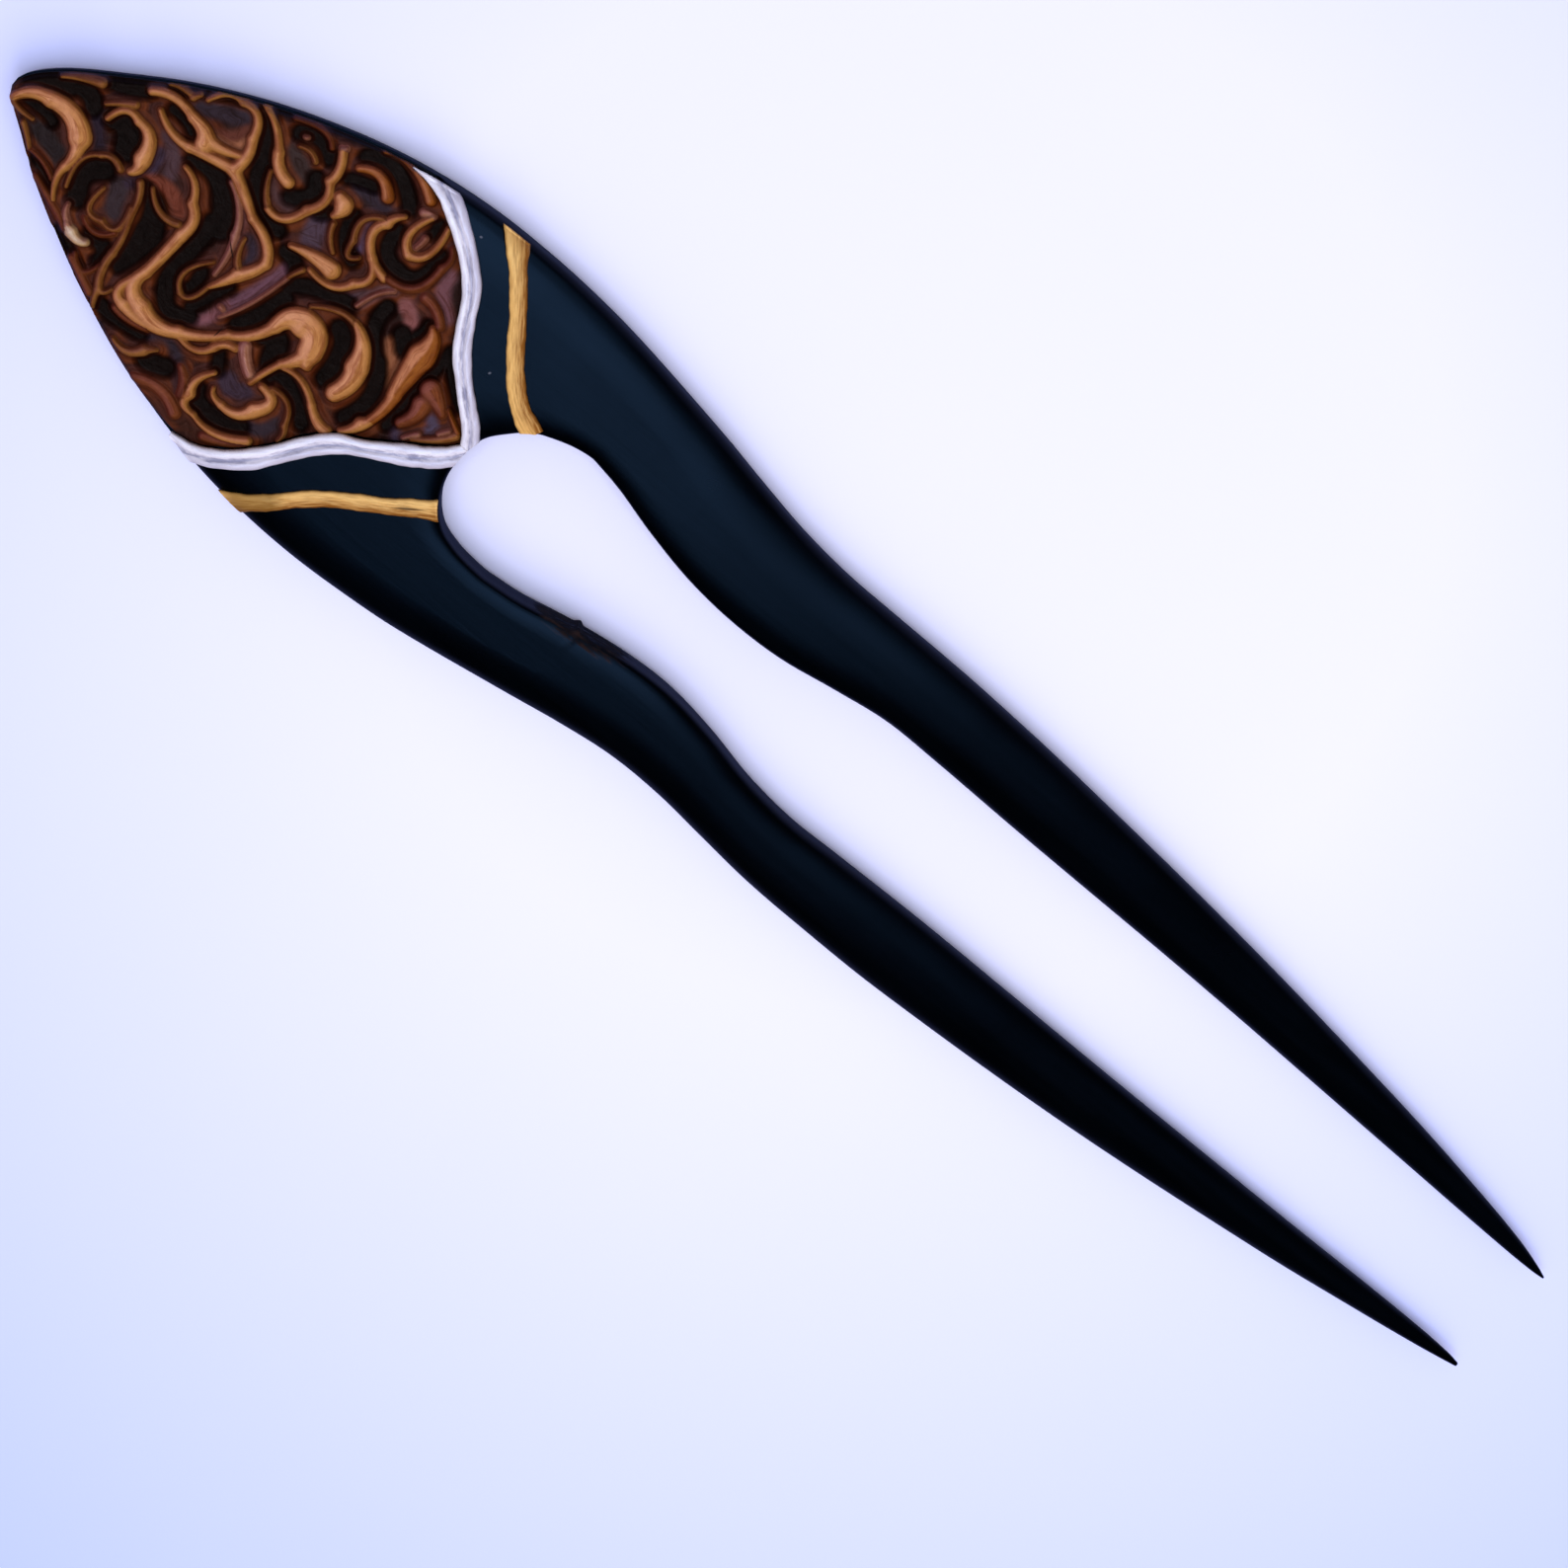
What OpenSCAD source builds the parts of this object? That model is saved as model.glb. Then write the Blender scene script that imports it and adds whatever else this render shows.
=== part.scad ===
// Two-pronged hair fork of black stained wood. The kite-shaped head carries a swirled relief panel,
// framed behind by two silver cords that meet at the notch, with a gold band across each shoulder.
// +X runs from the head to the points, +Y to the left prong, +Z up from the flat underside.

/* [Overall] */
// Length from the end of the head to the points of the prongs
fork_length = 160; // [140:5:180]
// Thickness of the wood at the shoulders
wood_thickness = 5; // [4.6:0.1:6]

/* [Panel] */
// Height of the panel's seat above the underside
seat_height = 3; // [2.6:0.1:3.2]
// Thickness of the panel over its ridges
panel_thickness = 2.1; // [1.8:0.1:2.6]
// Depth of the hollows between the ridges
relief_depth = 1.1; // [0.3:0.1:1.3]
// Width of the slope beside a ridge
ridge_slope = 0.75; // [0.5:0.05:1.2]

/* [Silver cords] */
// Height of a silver cord above the wood
silver_height = 0.9; // [0.6:0.1:1.4]
// Depth of the groove between a silver cord's two ridges
silver_groove = 0.3; // [0:0.05:0.4]

/* [Gold bands] */
// Height of a gold band above the wood
gold_height = 0.5; // [0.3:0.1:0.8]

/* [Fits] */
// Gap between neighbouring pieces
fit_gap = 0.05; // [0.03:0.01:0.08]

/* [Hidden] */

// The tables hold millimetres on a fork that is 160 long.
// x counts from the end of the head, y from the axis of the prongs.
chart_length = 160;
scale_xy = fork_length / chart_length;
head_end_x = -0.3;
widest_left = 17.1;
widest_right = -14.95;
mid_x = (head_end_x + chart_length) / 2;
mid_y = (widest_left + widest_right) / 2;

// Outer edge: x, y of the left side, y of the right side
OUTER = [
    [-0.3, 0.6, -0.1],
    [0, 1.3, -0.6],
    [1, 2.5, -1.35],
    [2.5, 3.85, -2.4],
    [5, 5.65, -4.25],
    [10, 8.95, -7.2],
    [15, 11.6, -9.6],
    [20, 13.65, -11.65],
    [25, 15.25, -13.2],
    [30, 16.35, -14.25],
    [35, 16.95, -14.8],
    [40, 17.1, -14.95],
    [45, 16.95, -14.7],
    [50, 16.5, -14.2],
    [60, 15.05, -12.5],
    [65, 14.15, -11.6],
    [70, 13.35, -10.95],
    [75, 12.95, -10.95],
    [80, 12.93, -11.4],
    [85, 12.95, -11.85],
    [90, 12.9, -12],
    [100, 12.5, -11.95],
    [120, 11.1, -10.7],
    [140, 9.05, -8.5],
    [150, 7.7, -7.05],
    [156, 6.7, -6.1],
    [159, 5.95, -5.55],
    [160, 5.6, -5.35]];

// Inner edge of the prongs past the notch: x, y of the left prong, y of the right prong
INNER = [
    [53, 7.1, -6],
    [56, 6.6, -5.65],
    [60, 5.55, -4.75],
    [65, 4.55, -3.9],
    [70, 4.15, -3.62],
    [75, 4.35, -4.2],
    [80, 5.2, -5.2],
    [85, 5.95, -5.65],
    [90, 6, -5.5],
    [100, 5.88, -5.25],
    [120, 5.84, -5.2],
    [140, 5.5, -5],
    [150, 5.32, -4.8],
    [156, 5.25, -4.75],
    [159, 5.3, -4.85],
    [160, 5.4, -5]];

// Rounded notch between the prongs: angle about its centre, radius
notch_x = 53;
notch_y = 0.5;
NOTCH = [
    [90, 6.6],
    [105, 6.6],
    [120, 6.75],
    [135, 7.15],
    [150, 7.45],
    [165, 7.95],
    [180, 8.05],
    [195, 8.2],
    [210, 8.15],
    [225, 7.85],
    [240, 7.2],
    [255, 6.7],
    [270, 6.5]];

// Side profile, charted on wood 5 thick: x, height of the underside, height of the top
chart_thickness = 5;
PROFILE = [
    [-0.3, 0, 5],
    [60, 0, 5],
    [80, 0, 4.75],
    [100, 0, 4.35],
    [120, 0, 3.85],
    [135, 0.1, 3.4],
    [150, 0.55, 2.75],
    [157, 1.05, 2.25],
    [160, 1.45, 1.85]];

// Squareness of the section's quarters: x, inner top, outer top, underside
SQUARENESS = [
    [-0.3, 8, 5, 5],
    [25, 9, 4.2, 5],
    [45, 9, 2.9, 4.5],
    [65, 6, 2.7, 4],
    [85, 3.2, 2.5, 3.2],
    [110, 2.4, 2.3, 2.6],
    [160, 2, 2, 2]];

// Routes of the cords and bands, outer end first: x, y, half of the width.
// The two silver routes cross at the notch, where each cord is cut off at the mitre.
SILVER_LEFT = [
    [27.4, 16.5, 0.85],
    [29.2, 16.3, 0.8],
    [31, 15.75, 0.78],
    [32.7, 14.85, 0.82],
    [34.95, 13.3, 0.77],
    [36.9, 11.4, 0.75],
    [38.2, 9.15, 0.75],
    [39.45, 7.15, 0.75],
    [41.15, 5.35, 0.72],
    [42.7, 3.95, 0.7],
    [43.9, 2.85, 0.75],
    [45.1, 1.2, 0.8]];
SILVER_RIGHT = [
    [26.3, -13.75, 0.78],
    [28.2, -13.4, 0.78],
    [30, -12.45, 0.8],
    [32, -10.8, 0.85],
    [33.5, -8.95, 0.8],
    [35, -6.8, 0.85],
    [36.6, -5.1, 0.8],
    [38.5, -3.95, 0.7],
    [40.5, -2.7, 0.82],
    [42, -1.75, 0.9],
    [43.2, -0.9, 0.88],
    [44.3, 0.15, 0.82],
    [45.2, 1.5, 0.8]];
GOLD_LEFT = [
    [36.1, 18, 1.3],
    [37.8, 15.9, 0.87],
    [39.35, 14.15, 0.72],
    [41.1, 12, 0.72],
    [42.7, 9.8, 0.74],
    [44.3, 7.95, 0.76],
    [46, 6.55, 0.8],
    [48, 5.6, 0.95]];
GOLD_RIGHT = [
    [32.4, -15.5, 1.15],
    [34.4, -13.5, 0.78],
    [35.8, -12.15, 0.7],
    [37.2, -10.6, 0.68],
    [39, -9, 0.68],
    [41, -7.6, 0.68],
    [43, -6.3, 0.7],
    [44.6, -5.1, 0.75],
    [46.5, -3.9, 0.9]];

// Mitre between the silver cords: its y, and the gap left there
mitre_y = 1.3;
mitre_gap = 2 * fit_gap;

// Ridges of the panel: each is a row of nodes, with x, y and half of the ridge's width
RIDGES = [
    // End of the head
    [[0.6, -0.1, 0.4], [1.6, 0.9, 0.5], [3.4, 1.4, 0.6], [5.4, 1.3, 0.9], [6.6, 0, 0.5],
     [6.8, -2.4, 0.25], [7.6, -4.3, 0.15]],
    [[2.6, 3.5, 0.2], [3.6, 4.2, 0.25], [4.9, 4.7, 0.35]],
    [[6.6, 3, 0.25], [7.4, 4.2, 0.3], [9.2, 4.5, 0.35], [10.7, 3.3, 0.6], [10.9, 1.2, 0.45],
     [11.8, 0.2, 0.3], [13, -2, 0.25], [13.8, -4.8, 0.3], [14.6, -7.7, 0.4], [15, -9, 0.25]],
    [[8, 0.3, 0.2], [9, 0.8, 0.3], [10.6, 0.8, 0.3]],
    [[9.9, -2.3, 0.2], [10.8, -3.4, 0.25], [12.2, -3.4, 0.25], [12.8, -1.9, 0.2]],
    [[8.8, -4.3, 0.2], [9.5, -5.3, 0.35], [10.6, -5.8, 0.45], [11.7, -5.6, 0.2]],
    // Left side of the head
    [[8.4, 7, 0.4], [10.5, 7.5, 0.35], [12.5, 7.4, 0.4], [14.3, 6.6, 0.75], [16.4, 6.5, 0.55],
     [18.6, 5.5, 0.45], [21, 3.9, 0.35], [23.2, 2.6, 0.45], [22.9, 0.9, 0.4], [21.7, -1, 0.35],
     [20.9, -3, 0.25], [19.8, -3.9, 0.25], [19.2, -2.4, 0.25], [20.2, -0.3, 0.3], [20.3, 2, 0.45],
     [18.9, 4.5, 0.35], [17.4, 5.7, 0.4]],
    [[9.8, 6.3, 0.2], [11.2, 5.7, 0.25], [13.4, 5.4, 0.3], [15, 6.1, 0.4]],
    [[11.8, 9, 0.3], [12.7, 10.3, 0.25], [14.3, 10.9, 0.25], [15.9, 10, 0.3], [16.8, 8.3, 0.4],
     [17.2, 6.6, 0.4]],
    [[15.4, 11.8, 0.2], [17, 11.4, 0.25], [18.3, 10, 0.4], [19.5, 8.7, 0.4], [21.3, 8.3, 0.3]],
    [[19.5, 7.8, 0.2], [20, 6.5, 0.25], [21.3, 5.9, 0.3], [22.7, 6.9, 0.35], [23.5, 9, 0.4],
     [23.1, 11, 0.35], [22.4, 12.8, 0.3]],
    [[24, 12.7, 0.3], [25.3, 13.5, 0.35], [27.2, 12.7, 0.35]],
    [[24.6, 10.1, 0.55], [25.3, 9.8, 0.55], [25.5, 8.4, 0.3], [26.6, 6.6, 0.15]],
    [[24.6, 15.2, 0.3], [27, 15.2, 0.35], [30, 14.3, 0.35]],
    // Middle
    [[13.3, 4.2, 0.25], [14.8, 3.6, 0.25], [16.3, 2.1, 0.3], [17.1, -0.2, 0.35], [17, -2.8, 0.3],
     [16.7, -5, 0.35], [17.6, -6.6, 0.6], [20.2, -6.9, 0.55], [22.8, -5.7, 0.45],
     [24.9, -3.8, 0.35], [26.6, -2, 0.4], [28, 0.1, 0.9], [29.6, 0.3, 1.1], [30.7, -1.2, 0.75],
     [29.6, -2.8, 0.3], [28.4, -5.5, 0.35]],
    [[16.2, -6, 0.35], [16.2, -7.5, 0.35], [18.4, -7.7, 0.35]],
    [[22.2, -6.8, 0.2], [23.8, -6.5, 0.3], [24.7, -5, 0.35], [25.7, -4.5, 0.3]],
    [[23.9, 4.7, 0.25], [25.4, 5, 0.4], [27.5, 5.3, 0.6]],
    [[25.6, 3.3, 0.2], [27, 4.3, 0.25], [28.9, 4.8, 0.3], [30, 6.3, 0.3], [29.3, 8.2, 0.35],
     [28.6, 10, 0.35], [29, 12, 0.25]],
    [[27.2, 9.8, 0.25], [27.5, 8, 0.25], [28.5, 7.3, 0.25]],
    [[26.7, -3.8, 0.35], [27.9, -5.2, 0.4]],
    // Right side of the head
    [[17.8, -10.3, 0.3], [19.4, -10, 0.45], [21.1, -8.8, 0.25]],
    [[26, -7.2, 0.25], [25.3, -8.6, 0.3], [25.6, -10.4, 0.4], [28, -10.9, 0.25], [30.8, -9.9, 0.3]],
    [[29.2, -5.7, 0.3], [30.2, -6.3, 0.5], [29.7, -7.7, 0.55], [28, -8.7, 0.3], [26.4, -8.2, 0.2]],
    [[29.7, -3.2, 0.25], [31.4, -3.4, 0.25], [33.4, -4.4, 0.3], [35, -5.1, 0.4]],
    [[30.2, -5.1, 0.2], [31.8, -5.7, 0.25], [32.9, -7.9, 0.25]],
    // Back of the head
    [[28.9, 2.2, 0.2], [30.4, 3, 0.25], [31.9, 3.1, 0.3], [33.4, 1.7, 0.5], [34.2, -0.2, 0.75],
     [34, -2.1, 0.55]],
    [[30.8, 12.4, 0.35], [30.9, 11, 0.35], [31.7, 10.2, 0.4], [32.5, 11.4, 0.35], [32.4, 13.3, 0.35],
     [31.3, 13.8, 0.35]],
    [[29.4, 8.1, 0.3], [31.1, 7.5, 0.3], [33.2, 8.5, 0.35], [34.2, 10.6, 0.35]],
    [[31.8, 7.2, 0.35], [31.5, 5.4, 0.3], [30.2, 3.9, 0.25]],
    [[34.2, 6.5, 0.7], [35.5, 5.7, 0.5]],
    [[36.7, 6.4, 0.4], [37.4, 4.8, 0.75], [37.6, 2.4, 0.65], [37.5, -0.3, 0.4], [37, -2.6, 0.4],
     [36.2, -4, 0.3]],
    [[34.4, 4.9, 0.2], [34.9, 3.6, 0.25], [36.1, 2.3, 0.3], [36.9, 0.8, 0.3]],
    [[39.4, 3.1, 0.45], [40.9, 2.3, 0.4]],
    [[41, -0.3, 0.3], [42.5, 0.7, 0.3]]];

// Sections and cells of the curved surfaces
prong_sections = 25;
head_sections = 17;
ring_points = 18;
panel_cells = 46;
band_sections = 24;

// Position in the fork's frame of a place in the charts
function place(x, y, z) = [scale_xy * (x - mid_x), scale_xy * (y - mid_y), z];

// Smooth curve through column c of a table, read at x in its first column
function row_before(t, x, i = 0) = i >= len(t) - 2 || x < t[i + 1][0] ? i : row_before(t, x, i + 1);
function column_slope(t, i, c) =
    let (a = max(i - 1, 0), b = min(i + 1, len(t) - 1)) (t[b][c] - t[a][c]) / (t[b][0] - t[a][0]);
function hermite(a, b, slope_a, slope_b, u) =
    a * (1 + 2 * u) * pow(1 - u, 2) + b * (3 - 2 * u) * u * u
    + slope_a * u * pow(1 - u, 2) - slope_b * (1 - u) * u * u;
function read(t, x, c) =
    let (i = row_before(t, x), step = t[i + 1][0] - t[i][0])
    hermite(t[i][c], t[i + 1][c], column_slope(t, i, c) * step, column_slope(t, i + 1, c) * step,
            (x - t[i][0]) / step);

// Smooth route through a row of nodes, at s from 0 to 1
function node_slope(t, i) = let (a = max(i - 1, 0), b = min(i + 1, len(t) - 1)) (t[b] - t[a]) / (b - a);
function along(t, s) =
    let (k = s * (len(t) - 1), i = min(floor(k), len(t) - 2))
    hermite(t[i], t[i + 1], node_slope(t, i), node_slope(t, i + 1), k - i);
function flat(p) = [p[0], p[1]];
function left_of(t, s) =
    let (d = flat(along(t, min(s + 0.01, 1)) - along(t, max(s - 0.01, 0)))) [-d[1], d[0]] / norm(d);

// A station is a line across the wood from the inner edge to the outer edge.
// Past the notch's centre it runs straight across. Round the notch it points away from the centre.
// side is 1 on the left and -1 on the right, and x is where the station meets the outer edge.
function outer_y(x, side) = read(OUTER, x, side > 0 ? 1 : 2);
function angle_about_notch(p) = let (a = atan2(p[1] - notch_y, p[0] - notch_x)) a < 0 ? a + 360 : a;
function outer_end(x, side) = [x, outer_y(x, side)];
function inner_end(x, side) =
    x >= notch_x
    ? [x, read(INNER, x, side > 0 ? 1 : 2)]
    : let (a = angle_about_notch(outer_end(x, side)), r = read(NOTCH, a, 1))
      [notch_x + r * cos(a), notch_y + r * sin(a)];

// Section at a station: q is -1 at the inner edge and 1 at the outer edge
scale_z = wood_thickness / chart_thickness;
function underside(x) = max(0, read(PROFILE, x, 1)) * scale_z;
function topside(x) = min(chart_thickness, read(PROFILE, x, 2)) * scale_z;
function middle(x) = (underside(x) + topside(x)) / 2;
function top_squareness(x, q) = read(SQUARENESS, x, q < 0 ? 1 : 2);
function dome(q, n) = pow(max(0, 1 - pow(abs(q), n)), 1 / n);
function top_at(x, q) = middle(x) + (topside(x) - middle(x)) * dome(q, top_squareness(x, q));

// The underside is cut off flat where the section would reach below it
flat_cut = 0.12;
function ring_point(x, side, k) =
    let (a = 360 * k / ring_points,
         upper = a <= 180,
         n = upper ? top_squareness(x, -cos(a)) : read(SQUARENESS, x, 3),
         q = -sign(cos(a)) * pow(abs(cos(a)), 2 / n),
         rise = pow(abs(sin(a)), 2 / n),
         m = middle(x),
         below = max(underside(x), m - (m - underside(x) + flat_cut) * rise),
         z = upper ? m + (topside(x) - m) * rise : below,
         i = inner_end(x, side),
         o = outer_end(x, side),
         p = i + (o - i) * (1 + q) / 2)
    place(p[0], p[1], z);
function ring(x, side) = [for (k = [ring_points - 1:-1:0]) ring_point(x, side, k)];

// Station places. A power above 1 sets them closer together towards the points and the head's end.
prong_crowding = 1.25;
head_crowding = 1.7;
function prong_x(k) = chart_length - (chart_length - notch_x) * pow(k / prong_sections, prong_crowding);
function head_x(k) = head_end_x + (notch_x - head_end_x) * pow(1 - k / head_sections, head_crowding);

// Closed skin over rings of n points. The first and the last ring are closed by cells between
// their two halves, so that an end needn't be flat.
function end_cells(n, start, step) = [for (k = [0:n / 2 - 2], half = [0, 1])
    let (across = n - 2 - k, cell = half == 0 ? [k, k + 1, across] : [k, across, across + 1])
    [for (m = [1 - step:step:1 + step]) start + cell[m]]];
function skin_faces(rings, n) = concat(
    [for (i = [0:rings - 2], k = [0:n - 1], half = [0, 1])
        let (a = i * n + k, b = i * n + (k + 1) % n)
        half == 0 ? [a, b, b + n] : [a, b + n, a + n]],
    end_cells(n, 0, -1),
    end_cells(n, (rings - 1) * n, 1));
module skin(rings) {
    points = [for (r = rings) each r];
    polyhedron(points = points, faces = skin_faces(len(rings), len(rings[0])), convexity = 10);
}

// Edge of a cord on the panel's side, moved off by a gap. toward is 1 or -1 times the left-hand normal.
function cord_edge(t, s, toward, gap) =
    flat(along(t, s)) + toward * (along(t, s)[2] + gap) * left_of(t, s);

// Outline of the panel, moved inward by an inset along the outer edge and by a gap behind.
// The inset grows over the last stretch, by a high power of u, to meet the corner beside the cord.
panel_start_x = head_end_x + 0.1;
side_crowding = 1.4;
corner_power = 12;
function side_inset(u, wide, corner) = wide + (corner - wide) * pow(u, corner_power);
function panel_side(u, side, t, toward, gap, inset) =
    let (corner = cord_edge(t, 0, toward, gap),
         x = panel_start_x + (corner[0] - panel_start_x) * pow(u, side_crowding),
         corner_inset = side * (outer_y(corner[0], side) - corner[1]))
    [x, outer_y(x, side) - side * side_inset(u, inset, corner_inset)];
function side_left(u, gap, inset) = panel_side(u, 1, SILVER_LEFT, -1, gap, inset);
function side_right(u, gap, inset) = panel_side(u, -1, SILVER_RIGHT, 1, gap, inset);

// Share of a cord's route at which its edge on the panel's side comes to the mitre, found by halving
function mitre_reach(t, toward, low = 0.5, high = 1, tries = 14) =
    let (s = (low + high) / 2, before = toward * (mitre_y - cord_edge(t, s, toward, 0)[1]) > 0)
    tries == 0 ? s : mitre_reach(t, toward, before ? s : low, before ? high : s, tries - 1);
reach_left = mitre_reach(SILVER_LEFT, -1);
reach_right = mitre_reach(SILVER_RIGHT, 1);
function back_left(v, gap) = cord_edge(SILVER_LEFT, v * reach_left, -1, gap);
function back_right(v, gap) = cord_edge(SILVER_RIGHT, v * reach_right, 1, gap);

// Point of the panel's patch between its four edges. Both back edges end at one apex, and both
// front edges at one head, which they reach over their last stretch by high powers.
panel_gap = 2 * fit_gap;
edge_inset = 0.12;
apex_power = 6;
head_power = 30;
apex = (back_left(1, panel_gap) + back_right(1, panel_gap)) / 2;
function to_apex(p, v, end) = p + (apex - end) * pow(v, apex_power);
function patch(u, v) =
    let (low_end = side_right(0, panel_gap, edge_inset),
         high_end = side_left(0, panel_gap, edge_inset),
         head = (low_end + high_end) / 2,
         c_left = side_left(1, panel_gap, edge_inset),
         c_right = side_right(1, panel_gap, edge_inset),
         left = side_left(u, panel_gap, edge_inset) + (head - high_end) * pow(1 - u, head_power),
         right = side_right(v, panel_gap, edge_inset) + (head - low_end) * pow(1 - v, head_power),
         behind_left = to_apex(back_left(v, panel_gap), v, back_left(1, panel_gap)),
         behind_right = to_apex(back_right(u, panel_gap), u, back_right(1, panel_gap)))
    (1 - v) * left + v * behind_right + (1 - u) * right + u * behind_left
    - (1 - u) * (1 - v) * head - u * (1 - v) * c_left - (1 - u) * v * c_right - u * v * apex;

// Distance from a place to a straight piece of ridge, less the ridge's half width there
function beyond(p, a, b) =
    let (d = flat(b - a), t = max(0, min(1, ((p - flat(a)) * d) / (d * d))))
    norm(p - flat(a) - t * d) - (a[2] + (b[2] - a[2]) * t);
ridge_reach = 6;
function is_near(p, a) = abs(p[0] - a[0]) < ridge_reach && abs(p[1] - a[1]) < ridge_reach;
function beyond_ridges(p) = min(concat([ridge_reach], [
    for (r = RIDGES, i = [0:len(r) - 2]) if (is_near(p, r[i])) beyond(p, r[i], r[i + 1])]));
function ease(t) = let (c = max(0, min(1, t))) c * c * (3 - 2 * c);
function relief(p) = relief_depth * ease(beyond_ridges(p) / ridge_slope);

// Outline of the panel's seat, which runs off the wood past the two outer edges
seat_margin = 3;
function seat_corner(p, side) = [p[0] - seat_margin / 2, p[1] + side * seat_margin];
function seat_outline() =
    let (n = 24,
         behind_left = [for (k = [0:n]) back_left(k / n, 0)],
         behind_right = [for (k = [n:-1:0]) back_right(k / n, 0)],
         past_x = head_end_x - seat_margin,
         outline = concat([seat_corner(behind_left[0], 1)], behind_left, behind_right,
                          [seat_corner(behind_right[n], -1)],
                          [[past_x, widest_right], [past_x, widest_left]]))
    [for (p = outline) flat(place(p[0], p[1], 0))];

// A place with the height of the wood's top under it, found along the station through the place.
// Past an edge the height stays as it is just inside the edge.
near_inner = -0.97;
near_outer = 0.96;
function station_x(a, side, low, high, tries = 18) =
    let (x = (low + high) / 2, nearer = side * (angle_about_notch(outer_end(x, side)) - a) > 0)
    tries == 0 ? x : station_x(a, side, nearer ? x : low, nearer ? high : x, tries - 1);
function on_wood(p) =
    let (a = angle_about_notch(p),
         side = a <= 180 ? 1 : -1,
         x = station_x(a, side, head_end_x, notch_x),
         i = inner_end(x, side),
         o = outer_end(x, side),
         q = 2 * ((p - i) * (o - i)) / ((o - i) * (o - i)) - 1)
    [p[0], p[1], top_at(x, max(near_inner, min(near_outer, q)))];

// Inside the wood's outer edges and clear of the notch, by at least the inset of the edges, and
// to the left of the mitre where keep is 1 or to its right where keep is -1
function is_kept(p, keep) =
    let (a = angle_about_notch(p), side = a <= 180 ? 1 : -1)
    side * (outer_y(p[0], side) - p[1]) > edge_inset
    && norm(p - [notch_x, notch_y]) > read(NOTCH, max(90, min(270, a)), 1) + edge_inset
    && keep * (p[1] - mitre_y) >= abs(keep) * mitre_gap / 2;

// Sections of a cord and of a band: place across it, height
SILVER_SECTION = [[-1, 0.4], [-0.8, 0.85], [-0.45, 1], [0, 1], [0.45, 1], [0.8, 0.85], [1, 0.4]];
GOLD_SECTION = [[-1, 0.35], [-0.75, 0.8], [-0.35, 1], [0.35, 1], [0.75, 0.8], [1, 0.35]];

// Each line along a strip, at e across it, starts and ends where it comes onto the head.
// So the strip's two ends lie flush with the wood's edges, however it crosses them.
end_search = 0.25;
function strip_place(t, s, e) = flat(along(t, s)) + e * along(t, s)[2] * left_of(t, s);
function line_end(t, e, keep, off, on, tries = 14) =
    let (s = (off + on) / 2, here = is_kept(strip_place(t, s, e), keep))
    tries == 0 ? on : line_end(t, e, keep, here ? off : s, here ? s : on, tries - 1);
function strip_line(t, e, keep, rise) =
    let (from = line_end(t, e, keep, 0, end_search), to = line_end(t, e, keep, 1, 1 - end_search))
    [for (k = [0:band_sections])
        let (p = on_wood(strip_place(t, from + (to - from) * k / band_sections, e)))
        place(p[0], p[1], p[2] + fit_gap + rise)];
module strip(t, keep, section, height, groove) {
    over = [for (m = section) strip_line(t, m[0], keep, height * m[1] - (m[0] == 0 ? groove : 0))];
    under = [for (k = [len(section) - 1:-1:0]) strip_line(t, section[k][0], keep, 0)];
    skin([for (k = [0:band_sections]) [for (l = concat(over, under)) l[k]]]);
}

module fork_body() {
    left = [for (k = [0:prong_sections - 1]) ring(prong_x(k), 1)];
    round_left = [for (k = [0:head_sections - 1]) ring(head_x(k), 1)];
    end = [ring(head_end_x, 1), ring(head_end_x, -1)];
    round_right = [for (k = [head_sections - 1:-1:0]) ring(head_x(k), -1)];
    right = [for (k = [prong_sections - 1:-1:0]) ring(prong_x(k), -1)];
    color("#12161c") difference() {
        skin(concat(left, round_left, end, round_right, right));
        translate([0, 0, seat_height]) linear_extrude(wood_thickness) polygon(seat_outline());
    }
}

module swirl_panel() {
    n = panel_cells;
    base = seat_height + fit_gap;
    edge_drop = 0.4;
    grid = [for (j = [0:n], i = [0:n]) patch(i / n, j / n)];
    function drop(k) = k % (n + 1) == 0 || k <= n ? edge_drop : 0;
    function top_height(k) = base + panel_thickness - relief(grid[k]) - drop(k);
    top = [for (k = [0:len(grid) - 1]) place(grid[k][0], grid[k][1], top_height(k))];
    border = concat([for (i = [0:n - 1]) i], [for (j = [0:n - 1]) j * (n + 1) + n],
                    [for (i = [n:-1:1]) n * (n + 1) + i], [for (j = [n:-1:1]) j * (n + 1)]);
    low = [for (k = border) place(grid[k][0], grid[k][1], base)];
    count = len(top);
    cells = [for (j = [0:n - 1], i = [0:n - 1], half = [0, 1])
        let (a = j * (n + 1) + i) half == 0 ? [a, a + 1, a + n + 2] : [a, a + n + 2, a + n + 1]];
    wall = [for (k = [0:len(border) - 1], half = [0, 1])
        let (m = (k + 1) % len(border))
        half == 0 ? [border[k], count + k, count + m] : [border[k], count + m, border[m]]];
    color("#7a4a2a") polyhedron(points = concat(top, low),
        faces = concat(cells, wall, [[for (k = [len(border) - 1:-1:0]) count + k]]), convexity = 10);
}

module silver_cord_left() {
    color("#d9d8e4") strip(SILVER_LEFT, 1, SILVER_SECTION, silver_height, silver_groove);
}

module silver_cord_right() {
    color("#d9d8e4") strip(SILVER_RIGHT, -1, SILVER_SECTION, silver_height, silver_groove);
}

module gold_band_left() {
    color("#c8963e") strip(GOLD_LEFT, 0, GOLD_SECTION, gold_height, 0);
}

module gold_band_right() {
    color("#c8963e") strip(GOLD_RIGHT, 0, GOLD_SECTION, gold_height, 0);
}

fork_body();
swirl_panel();
silver_cord_left();
silver_cord_right();
gold_band_left();
gold_band_right();
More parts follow.
